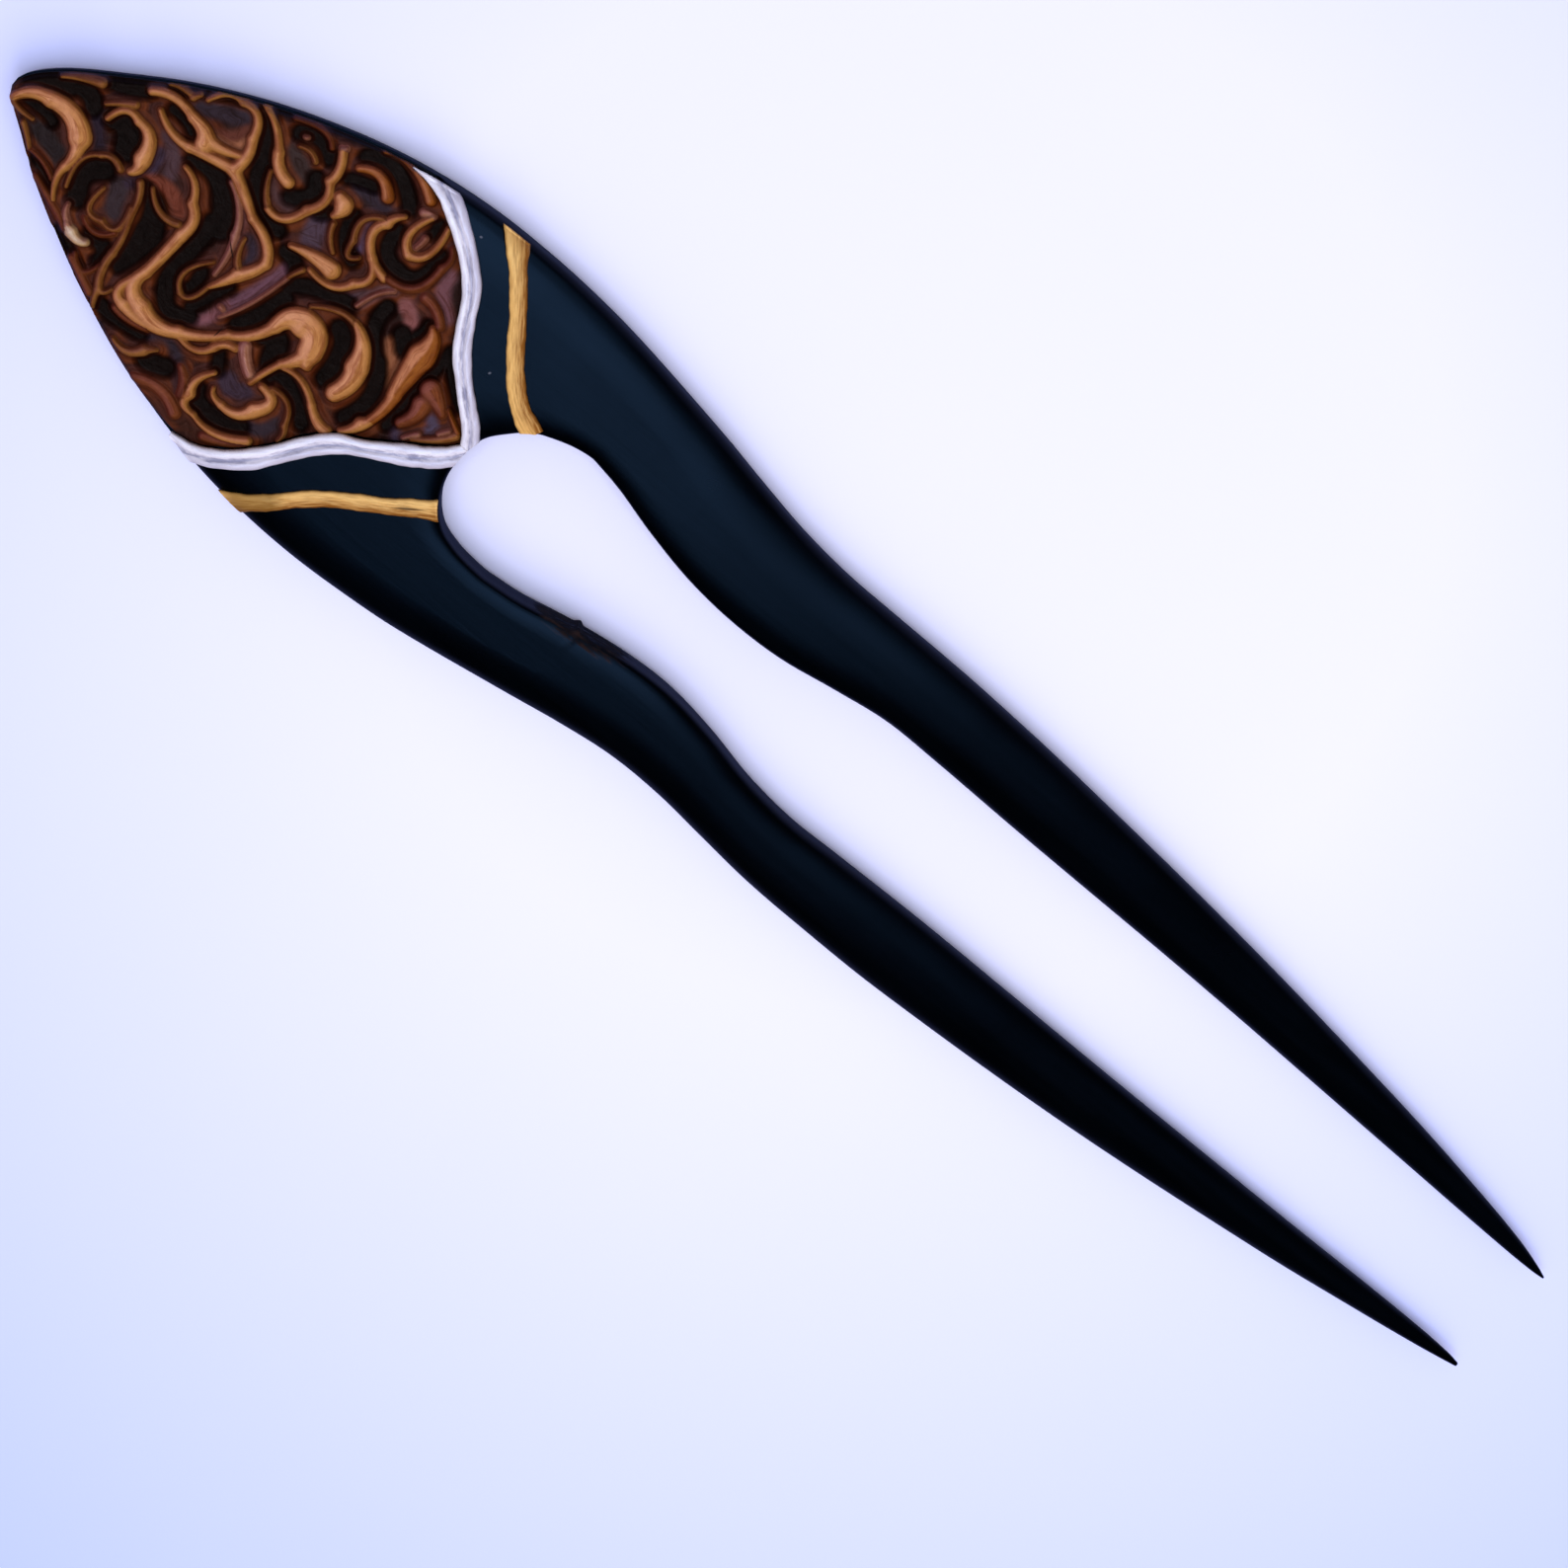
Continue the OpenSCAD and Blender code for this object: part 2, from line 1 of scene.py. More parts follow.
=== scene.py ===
# %% [markdown]
# A hair fork, dressed for the camera.
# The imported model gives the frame: six solids in metres, with +X running from the head to the
# points, +Y to the left prong and +Z up. Here each solid gets a finer skin of the same shape:
# black stained wood, a panel of swirled clay in relief, two pearly silver cords and two bands of
# old gold. Loading the frame comes first, because every size below is taken from it.

# %% Load the frame
import math
import bpy
import numpy as np
from mathutils import Matrix, Vector


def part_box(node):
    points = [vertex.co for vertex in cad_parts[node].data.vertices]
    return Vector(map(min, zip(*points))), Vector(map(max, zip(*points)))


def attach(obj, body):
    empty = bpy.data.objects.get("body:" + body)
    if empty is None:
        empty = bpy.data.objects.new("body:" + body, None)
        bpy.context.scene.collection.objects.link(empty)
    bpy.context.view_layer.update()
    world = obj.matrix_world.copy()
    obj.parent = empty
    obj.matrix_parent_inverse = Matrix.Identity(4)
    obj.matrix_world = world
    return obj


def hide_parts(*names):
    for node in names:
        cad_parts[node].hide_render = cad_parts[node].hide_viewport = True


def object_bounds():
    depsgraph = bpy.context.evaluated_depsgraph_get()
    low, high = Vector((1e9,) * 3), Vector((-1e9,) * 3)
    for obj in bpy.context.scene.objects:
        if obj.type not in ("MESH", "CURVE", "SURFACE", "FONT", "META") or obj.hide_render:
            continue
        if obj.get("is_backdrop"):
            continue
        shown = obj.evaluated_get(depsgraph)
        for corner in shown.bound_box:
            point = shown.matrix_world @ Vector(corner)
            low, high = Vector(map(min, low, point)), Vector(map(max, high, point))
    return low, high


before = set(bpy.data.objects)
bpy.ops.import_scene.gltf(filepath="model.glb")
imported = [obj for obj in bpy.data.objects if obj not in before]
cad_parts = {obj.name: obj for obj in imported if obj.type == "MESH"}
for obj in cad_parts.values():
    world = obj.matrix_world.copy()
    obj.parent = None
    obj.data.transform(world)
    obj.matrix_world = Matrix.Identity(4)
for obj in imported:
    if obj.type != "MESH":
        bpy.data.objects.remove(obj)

cad_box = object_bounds()
wood_low, wood_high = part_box("fork_body")
print("nodes:", ", ".join(sorted(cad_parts)))
print("wood from", tuple(round(c, 5) for c in wood_low), "to", tuple(round(c, 5) for c in wood_high))

# %% [markdown]
# A maker would draw the fork on squared paper before cutting it. The charts below are that
# paper, in millimetres: x counts from the end of the head, y from the axis of the prongs and z
# from the table. One function takes a place on the paper to a place in the frame, so the whole
# fork keeps the size that the solids have.

# %% The squared paper
CHART_LENGTH = 160.3
HEAD_END_X = -0.3
WIDEST_LEFT = 17.1
WIDEST_RIGHT = -14.95
MM = (wood_high.x - wood_low.x) / CHART_LENGTH
MIDDLE_X = HEAD_END_X + CHART_LENGTH / 2
MIDDLE_Y = (WIDEST_LEFT + WIDEST_RIGHT) / 2


def place(x, y, z):
    """Frame position of a chart place: move the chart's middle to the origin, then scale to metres."""
    return np.stack(np.broadcast_arrays((x - MIDDLE_X) * MM, (y - MIDDLE_Y) * MM, z * MM), axis=-1)


print("one chart millimetre is", round(MM * 1000, 4), "mm")

# %% [markdown]
# Smooth edges come from a few charted rows. Between two rows the edge is a cubic whose slope at
# each row is that of the line between the row's neighbours. It is the same rule for an edge read
# at x and for a route that bends freely over the paper, so both use one blend.

# %% Curves through charted rows
def cubic(a, b, slope_a, slope_b, u):
    """Hermite blend from a to b as u goes from 0 to 1, leaving with slope_a and arriving with slope_b."""
    return (a * (1 + 2 * u) * (1 - u) ** 2 + b * (3 - 2 * u) * u * u
            + slope_a * u * (1 - u) ** 2 - slope_b * (1 - u) * u * u)


def neighbours(count):
    """Row before and row after each of count rows, held at the two ends."""
    rows = np.arange(count)
    return np.maximum(rows - 1, 0), np.minimum(rows + 1, count - 1)


def read(table, x, column):
    """One column of a table as a smooth curve of the first column, read at every x."""
    t = np.asarray(table, dtype=float)
    x = np.asarray(x, dtype=float)
    before, after = neighbours(len(t))
    slope = (t[after, column] - t[before, column]) / (t[after, 0] - t[before, 0])
    i = np.clip(np.searchsorted(t[:, 0], x, side="right") - 1, 0, len(t) - 2)
    step = t[i + 1, 0] - t[i, 0]
    return cubic(t[i, column], t[i + 1, column], slope[i] * step, slope[i + 1] * step,
                 (x - t[i, 0]) / step)


def along(nodes, s):
    """Point of a smooth route through a row of nodes, where s runs from 0 at the first to 1 at the last."""
    t = np.asarray(nodes, dtype=float)
    before, after = neighbours(len(t))
    slope = (t[after] - t[before]) / (after - before)[:, None]
    k = np.asarray(s, dtype=float) * (len(t) - 1)
    i = np.clip(np.floor(k).astype(int), 0, len(t) - 2)
    return cubic(t[i], t[i + 1], slope[i], slope[i + 1], (k - i)[..., None])


def left_of(nodes, s):
    """Unit vector across a route, to its left: the direction of travel turned a quarter turn."""
    reach = 0.01
    d = along(nodes, np.minimum(s + reach, 1))[..., :2] - along(nodes, np.maximum(s - reach, 0))[..., :2]
    d = d / np.linalg.norm(d, axis=-1, keepdims=True)
    return np.stack([-d[..., 1], d[..., 0]], axis=-1)


def ease(t):
    """Smooth step: 0 below 0, 1 above 1, and 3t^2 - 2t^3 between them."""
    c = np.clip(t, 0, 1)
    return c * c * (3 - 2 * c)


HILL = [(0, 0), (10, 3), (20, 0)]
print("a hill through the rows", HILL, "is", round(float(read(HILL, 5, 1)), 3), "high at 5")

# %% [markdown]
# The wood is one plank, sawn to a kite with two long prongs and rounded over. Four charts hold
# it: the outer edge, the inner edge of the prongs, the rounded notch and the side profile. A
# fifth says how square the section is: a high number is a flat board with small rounded corners
# and 2 is an ellipse, which is what the points of the prongs have been sanded to. One short
# splinter stands out of the inner edge of the right prong, and it is a bump on that edge.

# %% Charts of the wood
# Outer edge: x, y of the left side, y of the right side
OUTER = [
    (-0.3, 0.6, -0.1), (0, 1.3, -0.6), (1, 2.5, -1.35), (2.5, 3.85, -2.4), (5, 5.65, -4.25),
    (10, 8.95, -7.2), (15, 11.6, -9.6), (20, 13.65, -11.65), (25, 15.25, -13.2), (30, 16.35, -14.25),
    (35, 16.95, -14.8), (40, 17.1, -14.95), (45, 16.95, -14.7), (50, 16.5, -14.2),
    (60, 15.05, -12.5), (65, 14.15, -11.6), (70, 13.35, -10.95), (75, 12.95, -10.95),
    (80, 12.93, -11.4), (85, 12.95, -11.85), (90, 12.9, -12), (100, 12.5, -11.95),
    (120, 11.1, -10.7), (140, 9.05, -8.5), (150, 7.7, -7.05), (156, 6.7, -6.1),
    (159, 5.95, -5.55), (160, 5.6, -5.35)]
# Inner edge of the prongs: x, y of the left prong, y of the right prong
INNER = [
    (53, 7.1, -6), (56, 6.6, -5.65), (60, 5.55, -4.75), (65, 4.55, -3.9), (70, 4.15, -3.62),
    (75, 4.35, -4.2), (80, 5.2, -5.2), (85, 5.95, -5.65), (90, 6, -5.5), (100, 5.88, -5.25),
    (120, 5.84, -5.2), (140, 5.5, -5), (150, 5.32, -4.8), (156, 5.25, -4.75),
    (159, 5.3, -4.85), (160, 5.4, -5)]
# Notch: angle about its centre in degrees, radius
NOTCH_CENTRE = np.array([53.0, 0.5])
NOTCH = [
    (90, 6.6), (105, 6.6), (120, 6.75), (135, 7.15), (150, 7.45), (165, 7.95), (180, 8.05),
    (195, 8.2), (210, 8.15), (225, 7.85), (240, 7.2), (255, 6.7), (270, 6.5)]
# Side profile: x, height of the underside, height of the top
PROFILE = [
    (-0.3, 0, 5), (60, 0, 5), (80, 0, 4.75), (100, 0, 4.35), (120, 0, 3.85), (135, 0.1, 3.4),
    (150, 0.55, 2.75), (157, 1.05, 2.25), (160, 1.45, 1.85)]
# Squareness of the section: x, inner top, outer top, underside
SQUARENESS = [
    (-0.3, 8, 5, 5), (25, 9, 4.2, 5), (45, 9, 2.9, 4.5), (65, 6, 2.7, 4), (85, 3.2, 2.5, 3.2),
    (110, 2.4, 2.3, 2.6), (160, 2, 2, 2)]
# Splinter on the inner edge of the right prong
SPLINTER_X = 61.1
SPLINTER_WIDTH = 0.3
SPLINTER_RISE = 0.3
print("wood charts:", len(OUTER), "outer rows,", len(INNER), "inner rows,", len(NOTCH), "notch rows")

# %% [markdown]
# A station is a line across the wood, from the inner edge to the outer edge. Down the prongs
# the stations run straight across. Round the notch they fan out from its centre, so the head
# gets the same neat rows of faces as the prongs, with no seam where the two meet.

# %% Stations across the wood
NOTCH_ANGLES = (NOTCH[0][0], NOTCH[-1][0])
PLANK_TOP = PROFILE[0][2]
# Twenty halvings of the head's length leave less than a thousandth of a millimetre
STATION_HALVINGS = 20


def outer_y(x, side):
    """Outer edge at x: the left column where side is 1, the right column where it is -1."""
    return np.where(np.asarray(side) > 0, read(OUTER, x, 1), read(OUTER, x, 2))


def outer_end(x, side):
    """Place where the station meets the outer edge."""
    return np.stack(np.broadcast_arrays(x, outer_y(x, side)), axis=-1).astype(float)


def angle_about_notch(p):
    """Angle of a place about the notch's centre, from 0 to 360 degrees."""
    d = p - NOTCH_CENTRE
    return np.degrees(np.arctan2(d[..., 1], d[..., 0])) % 360


def inner_end(x, side):
    """Past the notch's centre the inner edge at the same x, and round the notch its rim at the
    station's angle. The splinter adds rise * exp(-(distance / width)^2) to the right edge."""
    past = np.maximum(x, NOTCH_CENTRE[0])
    splinter = SPLINTER_RISE * np.exp(-((past - SPLINTER_X) / SPLINTER_WIDTH) ** 2)
    inner_y = np.where(np.asarray(side) > 0, read(INNER, past, 1), read(INNER, past, 2) + splinter)
    straight = np.stack(np.broadcast_arrays(x, inner_y), axis=-1)
    a = np.clip(angle_about_notch(outer_end(x, side)), *NOTCH_ANGLES)
    ray = np.stack([np.cos(np.radians(a)), np.sin(np.radians(a))], axis=-1)
    fan = NOTCH_CENTRE + read(NOTCH, a, 1)[..., None] * ray
    return np.where((np.asarray(x) >= NOTCH_CENTRE[0])[..., None], straight, fan)


def underside(x):
    """Height of the underside, never under the table."""
    return np.maximum(0, read(PROFILE, x, 1))


def topside(x):
    """Height of the top, never over the plank's thickness."""
    return np.minimum(PLANK_TOP, read(PROFILE, x, 2))


def dome(q, n):
    """Height of a superellipse at q across it: (1 - |q|^n)^(1/n)."""
    return np.maximum(0, 1 - np.abs(q) ** n) ** (1 / n)


def top_at(x, q):
    """Height of the wood's top at q, which is -1 at the inner edge and 1 at the outer edge."""
    middle = (underside(x) + topside(x)) / 2
    n = np.where(q < 0, read(SQUARENESS, x, 1), read(SQUARENESS, x, 2))
    return middle + (topside(x) - middle) * dome(q, n)


def station_of(p):
    """Station that passes through a place on the head, found by halving, and q of the place on it."""
    a = angle_about_notch(p)
    side = np.where(a <= 180, 1, -1)
    low = np.full(a.shape, HEAD_END_X)
    high = np.full(a.shape, NOTCH_CENTRE[0])
    for _ in range(STATION_HALVINGS):
        x = (low + high) / 2
        nearer = side * (angle_about_notch(outer_end(x, side)) - a) > 0
        low, high = np.where(nearer, x, low), np.where(nearer, high, x)
    i, o = inner_end(x, side), outer_end(x, side)
    q = 2 * np.sum((p - i) * (o - i), axis=-1) / np.sum((o - i) ** 2, axis=-1) - 1
    return x, q


print("notch rim at the back of the head:", np.round(inner_end(np.array([HEAD_END_X]), 1)[0], 2))

# %% [markdown]
# The cords and bands are strips laid over the wood. Each has a short chart of its route, from
# the shoulder inwards, with half of its width at each node. The two cords meet at the notch in a
# mitre, a cut straight along the fork. The panel's back edge runs along the silver cords, so
# their charts are needed before the wood, which is cut down to seat the panel.

# %% Charts of the strips
# Routes: x, y, half of the width
SILVER_LEFT = [
    (27.4, 16.5, 0.85), (29.2, 16.3, 0.8), (31, 15.75, 0.78), (32.7, 14.85, 0.82), (34.95, 13.3, 0.77),
    (36.9, 11.4, 0.75), (38.2, 9.15, 0.75), (39.45, 7.15, 0.75), (41.15, 5.35, 0.72),
    (42.7, 3.95, 0.7), (43.9, 2.85, 0.75), (45.1, 1.2, 0.8)]
SILVER_RIGHT = [
    (26.3, -13.75, 0.78), (28.2, -13.4, 0.78), (30, -12.45, 0.8), (32, -10.8, 0.85),
    (33.5, -8.95, 0.8), (35, -6.8, 0.85), (36.6, -5.1, 0.8), (38.5, -3.95, 0.7),
    (40.5, -2.7, 0.82), (42, -1.75, 0.9), (43.2, -0.9, 0.88), (44.3, 0.15, 0.82), (45.2, 1.5, 0.8)]
GOLD_LEFT = [
    (36.1, 18, 1.3), (37.8, 15.9, 0.87), (39.35, 14.15, 0.72), (41.1, 12, 0.72),
    (42.7, 9.8, 0.74), (44.3, 7.95, 0.76), (46, 6.55, 0.8), (48, 5.6, 0.95)]
GOLD_RIGHT = [
    (32.4, -15.5, 1.15), (34.4, -13.5, 0.78), (35.8, -12.15, 0.7), (37.2, -10.6, 0.68),
    (39, -9, 0.68), (41, -7.6, 0.68), (43, -6.3, 0.7), (44.6, -5.1, 0.75), (46.5, -3.9, 0.9)]
# Mitre line between the cords: its y, and the gap left there
MITRE_Y = 1.3
MITRE_GAP = 0.04


def cord_edge(nodes, s, toward, gap):
    """Edge of a cord, half of its width and a gap away from its middle line, to the left where
    toward is 1 and to the right where it is -1."""
    p = along(nodes, s)
    return p[..., :2] + toward * (p[..., 2] + gap)[..., None] * left_of(nodes, s)


def inside(p, corners):
    """Whether each place lies inside a closed outline: count the sides that a ray to +x crosses."""
    crossings = np.zeros(p.shape[:-1], dtype=int)
    for a, b in zip(corners, np.roll(corners, -1, axis=0)):
        spans = (a[1] > p[..., 1]) != (b[1] > p[..., 1])
        rise = b[1] - a[1] if b[1] != a[1] else 1.0
        crossings += spans & (p[..., 0] < a[0] + (p[..., 1] - a[1]) * (b[0] - a[0]) / rise)
    return crossings % 2 == 1


print("silver cords meet at", SILVER_LEFT[-1][:2], "and", SILVER_RIGHT[-1][:2])

# %% [markdown]
# Every piece is a grid of points, so one helper turns a grid into quads and another makes the
# mesh. Smooth shading hides the small faces. The signed volume tells whether the faces point
# outwards, and it is printed for each piece.

# %% Grids into meshes
CUBIC_MM = 1e9


def grid_faces(rows, columns, closed=False):
    """Quads of a grid of points stored row by row. A closed grid joins its last column to its first."""
    r = np.arange(rows - 1)[:, None] * columns
    c = np.arange(columns if closed else columns - 1)[None, :]
    n = (c + 1) % columns
    return np.stack([r + c, r + n, r + columns + n, r + columns + c], axis=-1).reshape(-1, 4)


def make_piece(name, points, quads, caps, material):
    """A mesh object from points, quads and end caps of any length, shaded smooth. Its volume is the
    sum over its triangles of (a x b) . c / 6, which is positive where they face outwards."""
    mesh = bpy.data.meshes.new(name)
    mesh.from_pydata(points.tolist(), [], quads.tolist() + [list(map(int, c)) for c in caps])
    mesh.polygons.foreach_set("use_smooth", np.ones(len(mesh.polygons), dtype=bool))
    mesh.materials.append(material)
    mesh.update()
    mesh.calc_loop_triangles()
    corners = np.zeros(len(mesh.loop_triangles) * 3, dtype=np.int32)
    mesh.loop_triangles.foreach_get("vertices", corners)
    a, b, c = points[corners.reshape(-1, 3)].transpose(1, 0, 2)
    volume = np.sum(np.cross(a, b) * c) / 6 * CUBIC_MM
    piece = bpy.data.objects.new(name, mesh)
    bpy.context.scene.collection.objects.link(piece)
    print(f"{name}: {len(corners) // 3} triangles, {volume:.1f} mm3")
    return piece


def paint(piece, name, values):
    """Gives the piece an attribute of one colour a point, from rows of red, green and blue."""
    layer = piece.data.color_attributes.new(name, "FLOAT_COLOR", "POINT")
    rows = np.concatenate([values, np.ones((len(values), 1))], axis=1)
    layer.data.foreach_set("color", rows.astype(np.float32).ravel())


print("a grid of 3 by 3 points has", len(grid_faces(3, 3)), "quads")

# %% [markdown]
# Finishes are node trees. These few helpers keep them short to write: a new material with its
# shader, a noise read in waves a millimetre, a range taken to another, a mix of two colours, a
# bump, and an oval spot at a place on the chart. Every finish ends by feeding its shader.

# %% Helpers for finishes
# The colour sockets of a Mix node
MIX_A, MIX_B, MIX_RESULT = 6, 7, 2
# Half of the depth of a spot, in millimetres
SPOT_DEPTH = 4


def srgb(code):
    """Linear colour of a hexadecimal screen colour: the standard curve with exponent 2.4."""
    c = np.array([int(code[i:i + 2], 16) / 255 for i in (1, 3, 5)])
    return np.where(c <= 0.04045, c / 12.92, ((c + 0.055) / 1.055) ** 2.4)


class Finish:
    """A material's node tree with its shader and the object coordinates in millimetres."""

    def __init__(self, name, metallic, specular):
        self.material = bpy.data.materials.new(name)
        self.material.use_nodes = True
        self.tree = self.material.node_tree
        self.shader = self.tree.nodes["Principled BSDF"]
        self.shader.inputs["Metallic"].default_value = metallic
        self.shader.inputs["Specular IOR Level"].default_value = specular
        self.coordinates = self.add("ShaderNodeTexCoord").outputs["Object"]
        self.millimetres = self.scaled((1 / MM, 1 / MM, 1 / MM))

    def add(self, kind, **settings):
        """A new node of one kind, with its settings."""
        node = self.tree.nodes.new(kind)
        for key, value in settings.items():
            setattr(node, key, value)
        return node

    def feed(self, socket, value):
        """Puts a value on a socket, or links an output to it."""
        if isinstance(value, bpy.types.NodeSocket):
            self.tree.links.new(value, socket)
        else:
            socket.default_value = value

    def scaled(self, scale, source=None):
        """The object's coordinates, or another vector, times a scale in x, y and z."""
        node = self.add("ShaderNodeMapping", vector_type="POINT")
        self.feed(node.inputs["Vector"], source or self.coordinates)
        node.inputs["Scale"].default_value = scale
        return node.outputs["Vector"]

    def waves(self, x, y, z):
        """The object's coordinates in waves a millimetre: a small number stretches a pattern."""
        return self.scaled((x / MM, y / MM, z / MM))

    def noise(self, scale, detail=3.0, roughness=0.55, vector=None, distortion=0.0):
        """Noise from 0 to 1, with scale in waves a millimetre, or in waves of the vector's unit."""
        node = self.add("ShaderNodeTexNoise")
        self.feed(node.inputs["Vector"], vector or self.millimetres)
        node.inputs["Scale"].default_value = scale
        node.inputs["Detail"].default_value = detail
        node.inputs["Roughness"].default_value = roughness
        node.inputs["Distortion"].default_value = distortion
        return node.outputs["Fac"]

    def spread(self, value, low, high, to_low=0.0, to_high=1.0):
        """A value from low to high taken to another range, held at its ends."""
        node = self.add("ShaderNodeMapRange", clamp=True)
        self.feed(node.inputs["Value"], value)
        ends = {"From Min": low, "From Max": high, "To Min": to_low, "To Max": to_high}
        for socket, number in ends.items():
            node.inputs[socket].default_value = number
        return node.outputs["Result"]

    def math(self, operation, a, b=0.0):
        """One sum on one or two values, such as ADD, MULTIPLY or ABSOLUTE."""
        node = self.add("ShaderNodeMath", operation=operation)
        self.feed(node.inputs[0], a)
        self.feed(node.inputs[1], b)
        return node.outputs["Value"]

    def mix(self, share, a, b, blend="MIX"):
        """Colour a with a share of colour b laid over it."""
        node = self.add("ShaderNodeMix", data_type="RGBA", blend_type=blend)
        self.feed(node.inputs["Factor"], share)
        for socket, colour in ((node.inputs[MIX_A], a), (node.inputs[MIX_B], b)):
            self.feed(socket, colour if isinstance(colour, bpy.types.NodeSocket) else (*colour, 1))
        return node.outputs[MIX_RESULT]

    def bump(self, height, distance_mm, strength, under=None):
        """Normal that leans as the height does, where a full step is distance_mm high."""
        node = self.add("ShaderNodeBump")
        node.inputs["Strength"].default_value = strength
        node.inputs["Distance"].default_value = distance_mm * MM
        self.feed(node.inputs["Height"], height)
        if under is not None:
            self.feed(node.inputs["Normal"], under)
        return node.outputs["Normal"]

    def within(self, centre, size, turn=0.0):
        """1 in the middle of an oval spot on the chart and 0 outside it. size is its two half widths
        and turn its angle in degrees."""
        node = self.add("ShaderNodeMapping", vector_type="TEXTURE")
        self.feed(node.inputs["Vector"], self.coordinates)
        node.inputs["Location"].default_value = place(*centre)
        node.inputs["Rotation"].default_value = (0, 0, math.radians(turn))
        node.inputs["Scale"].default_value = (size[0] * MM, size[1] * MM, SPOT_DEPTH * MM)
        length = self.add("ShaderNodeVectorMath", operation="LENGTH")
        self.feed(length.inputs[0], node.outputs["Vector"])
        return self.spread(length.outputs["Value"], 1.0, 0.0)

    def done(self, colour, roughness, normal):
        """Feeds the shader its colour, roughness and normal, and gives the finished material."""
        for socket, value in (("Base Color", colour), ("Roughness", roughness), ("Normal", normal)):
            self.feed(self.shader.inputs[socket], value)
        print(f"{self.material.name}: {len(self.tree.nodes)} nodes")
        return self.material


print("a middle grey of the screen is", round(float(srgb("#808080")[0]), 3), "in linear light")

# %% [markdown]
# The camera looks down at the table from about a third of a metre, tilted a little towards the
# top of the picture, through a long lens, so that the far prongs shrink only slightly. It is
# placed by how far the fork is turned in the picture, where it aims, how far it stands off and
# how much it tilts.

# %% The camera
FORK_TURN = math.radians(41)
IMAGE_RIGHT = Vector((math.cos(FORK_TURN), math.sin(FORK_TURN), 0))
IMAGE_UP = Vector((-math.sin(FORK_TURN), math.cos(FORK_TURN), 0))
AIM = Vector((0.00303, -0.00527, 0))
STAND_OFF = 0.342
TILT = math.radians(16.5)
LENS_MM = 95.2
SENSOR_MM = 36
NEAREST = 0.01

camera_data = bpy.data.cameras.new("camera")
camera_data.lens = LENS_MM
camera_data.sensor_width = SENSOR_MM
camera_data.clip_start = NEAREST
camera = bpy.data.objects.new("camera", camera_data)
bpy.context.scene.collection.objects.link(camera)
back = IMAGE_UP * math.sin(TILT) + Vector((0, 0, math.cos(TILT)))
up = back.cross(IMAGE_RIGHT)
turn = Matrix((IMAGE_RIGHT, up, back)).transposed().to_4x4()
camera.matrix_world = Matrix.Translation(AIM + back * STAND_OFF) @ turn
bpy.context.scene.camera = camera
print("camera at", tuple(round(c, 4) for c in camera.matrix_world.translation))

# %% [markdown]
# The fork lies on white paper under a soft, bluish daylight that comes from the whole room, with
# more of it from the bottom of the picture and a cooler share from the zenith. Black wood shows
# only what it mirrors. So the daylight is kept out of the reflections, as a photographer does
# with crossed polarisers, and two blue panels are seen there alone: one overhead, over the head
# and the left prong, and a dimmer one lower down on the left side. Where the rounded wood looks
# past their edges it mirrors nothing and goes black.

# %% Light
def soft_box(name, azimuth, elevation, distance, width, height, radiance, colour, mirrored):
    """An area light that faces the table, seen only in the shine where mirrored and otherwise only
    by what it lights. Its energy is pi times its area times its radiance."""
    light = bpy.data.lights.new(name, "AREA")
    light.shape = "RECTANGLE"
    light.size = width
    light.size_y = height
    light.energy = math.pi * width * height * radiance
    light.color = colour
    lamp = bpy.data.objects.new(name, light)
    a, e = math.radians(azimuth), math.radians(elevation)
    toward = Vector((math.cos(a) * math.cos(e), math.sin(a) * math.cos(e), math.sin(e)))
    lamp.location = toward * distance
    lamp.rotation_euler = toward.to_track_quat("Z", "Y").to_euler()
    lamp.visible_glossy = mirrored
    lamp.visible_diffuse = not mirrored
    bpy.context.scene.collection.objects.link(lamp)
    return lamp


DAYLIGHT = (0.8, 0.74, 0.92)
ZENITH_BLUE = (0.6, 0.7, 1.1)
PANEL_BLUE = (0.21, 0.47, 1.0)
ROOM_STRENGTH = 0.45
OVERHEAD_PLACE = Vector((-0.055, 0.08, 0.33))
picture_down = math.degrees(math.atan2(-IMAGE_UP.y, -IMAGE_UP.x))
# Lamps: azimuth, elevation, distance, width, height, radiance, colour, whether mirrored
LAMPS = {
    "daylight": (picture_down + 20, 55, 0.9, 0.8, 0.6, 2.3, DAYLIGHT, False),
    "zenith": (0, 90, 0.9, 0.6, 0.6, 5.2, ZENITH_BLUE, False),
    "blue_overhead": (0, 90, OVERHEAD_PLACE.z, 0.22, 0.3, 1.95, PANEL_BLUE, True),
    "blue_side": (109, 38, 0.45, 0.34, 0.3, 0.9, PANEL_BLUE, True)}
lamps = {name: soft_box(name, *values) for name, values in LAMPS.items()}
lamps["blue_overhead"].location = OVERHEAD_PLACE
lamps["blue_overhead"].rotation_euler = (0, 0, 0)

world = bpy.data.worlds.new("room")
world.use_nodes = True
world.node_tree.nodes["Background"].inputs["Color"].default_value = (*DAYLIGHT, 1)
world.node_tree.nodes["Background"].inputs["Strength"].default_value = ROOM_STRENGTH
world.cycles_visibility.glossy = False
bpy.context.scene.world = world
bpy.context.scene.view_settings.view_transform = "Standard"
print("lamps:", ", ".join(f"{name} {lamp.data.energy:.2f} W" for name, lamp in lamps.items()))
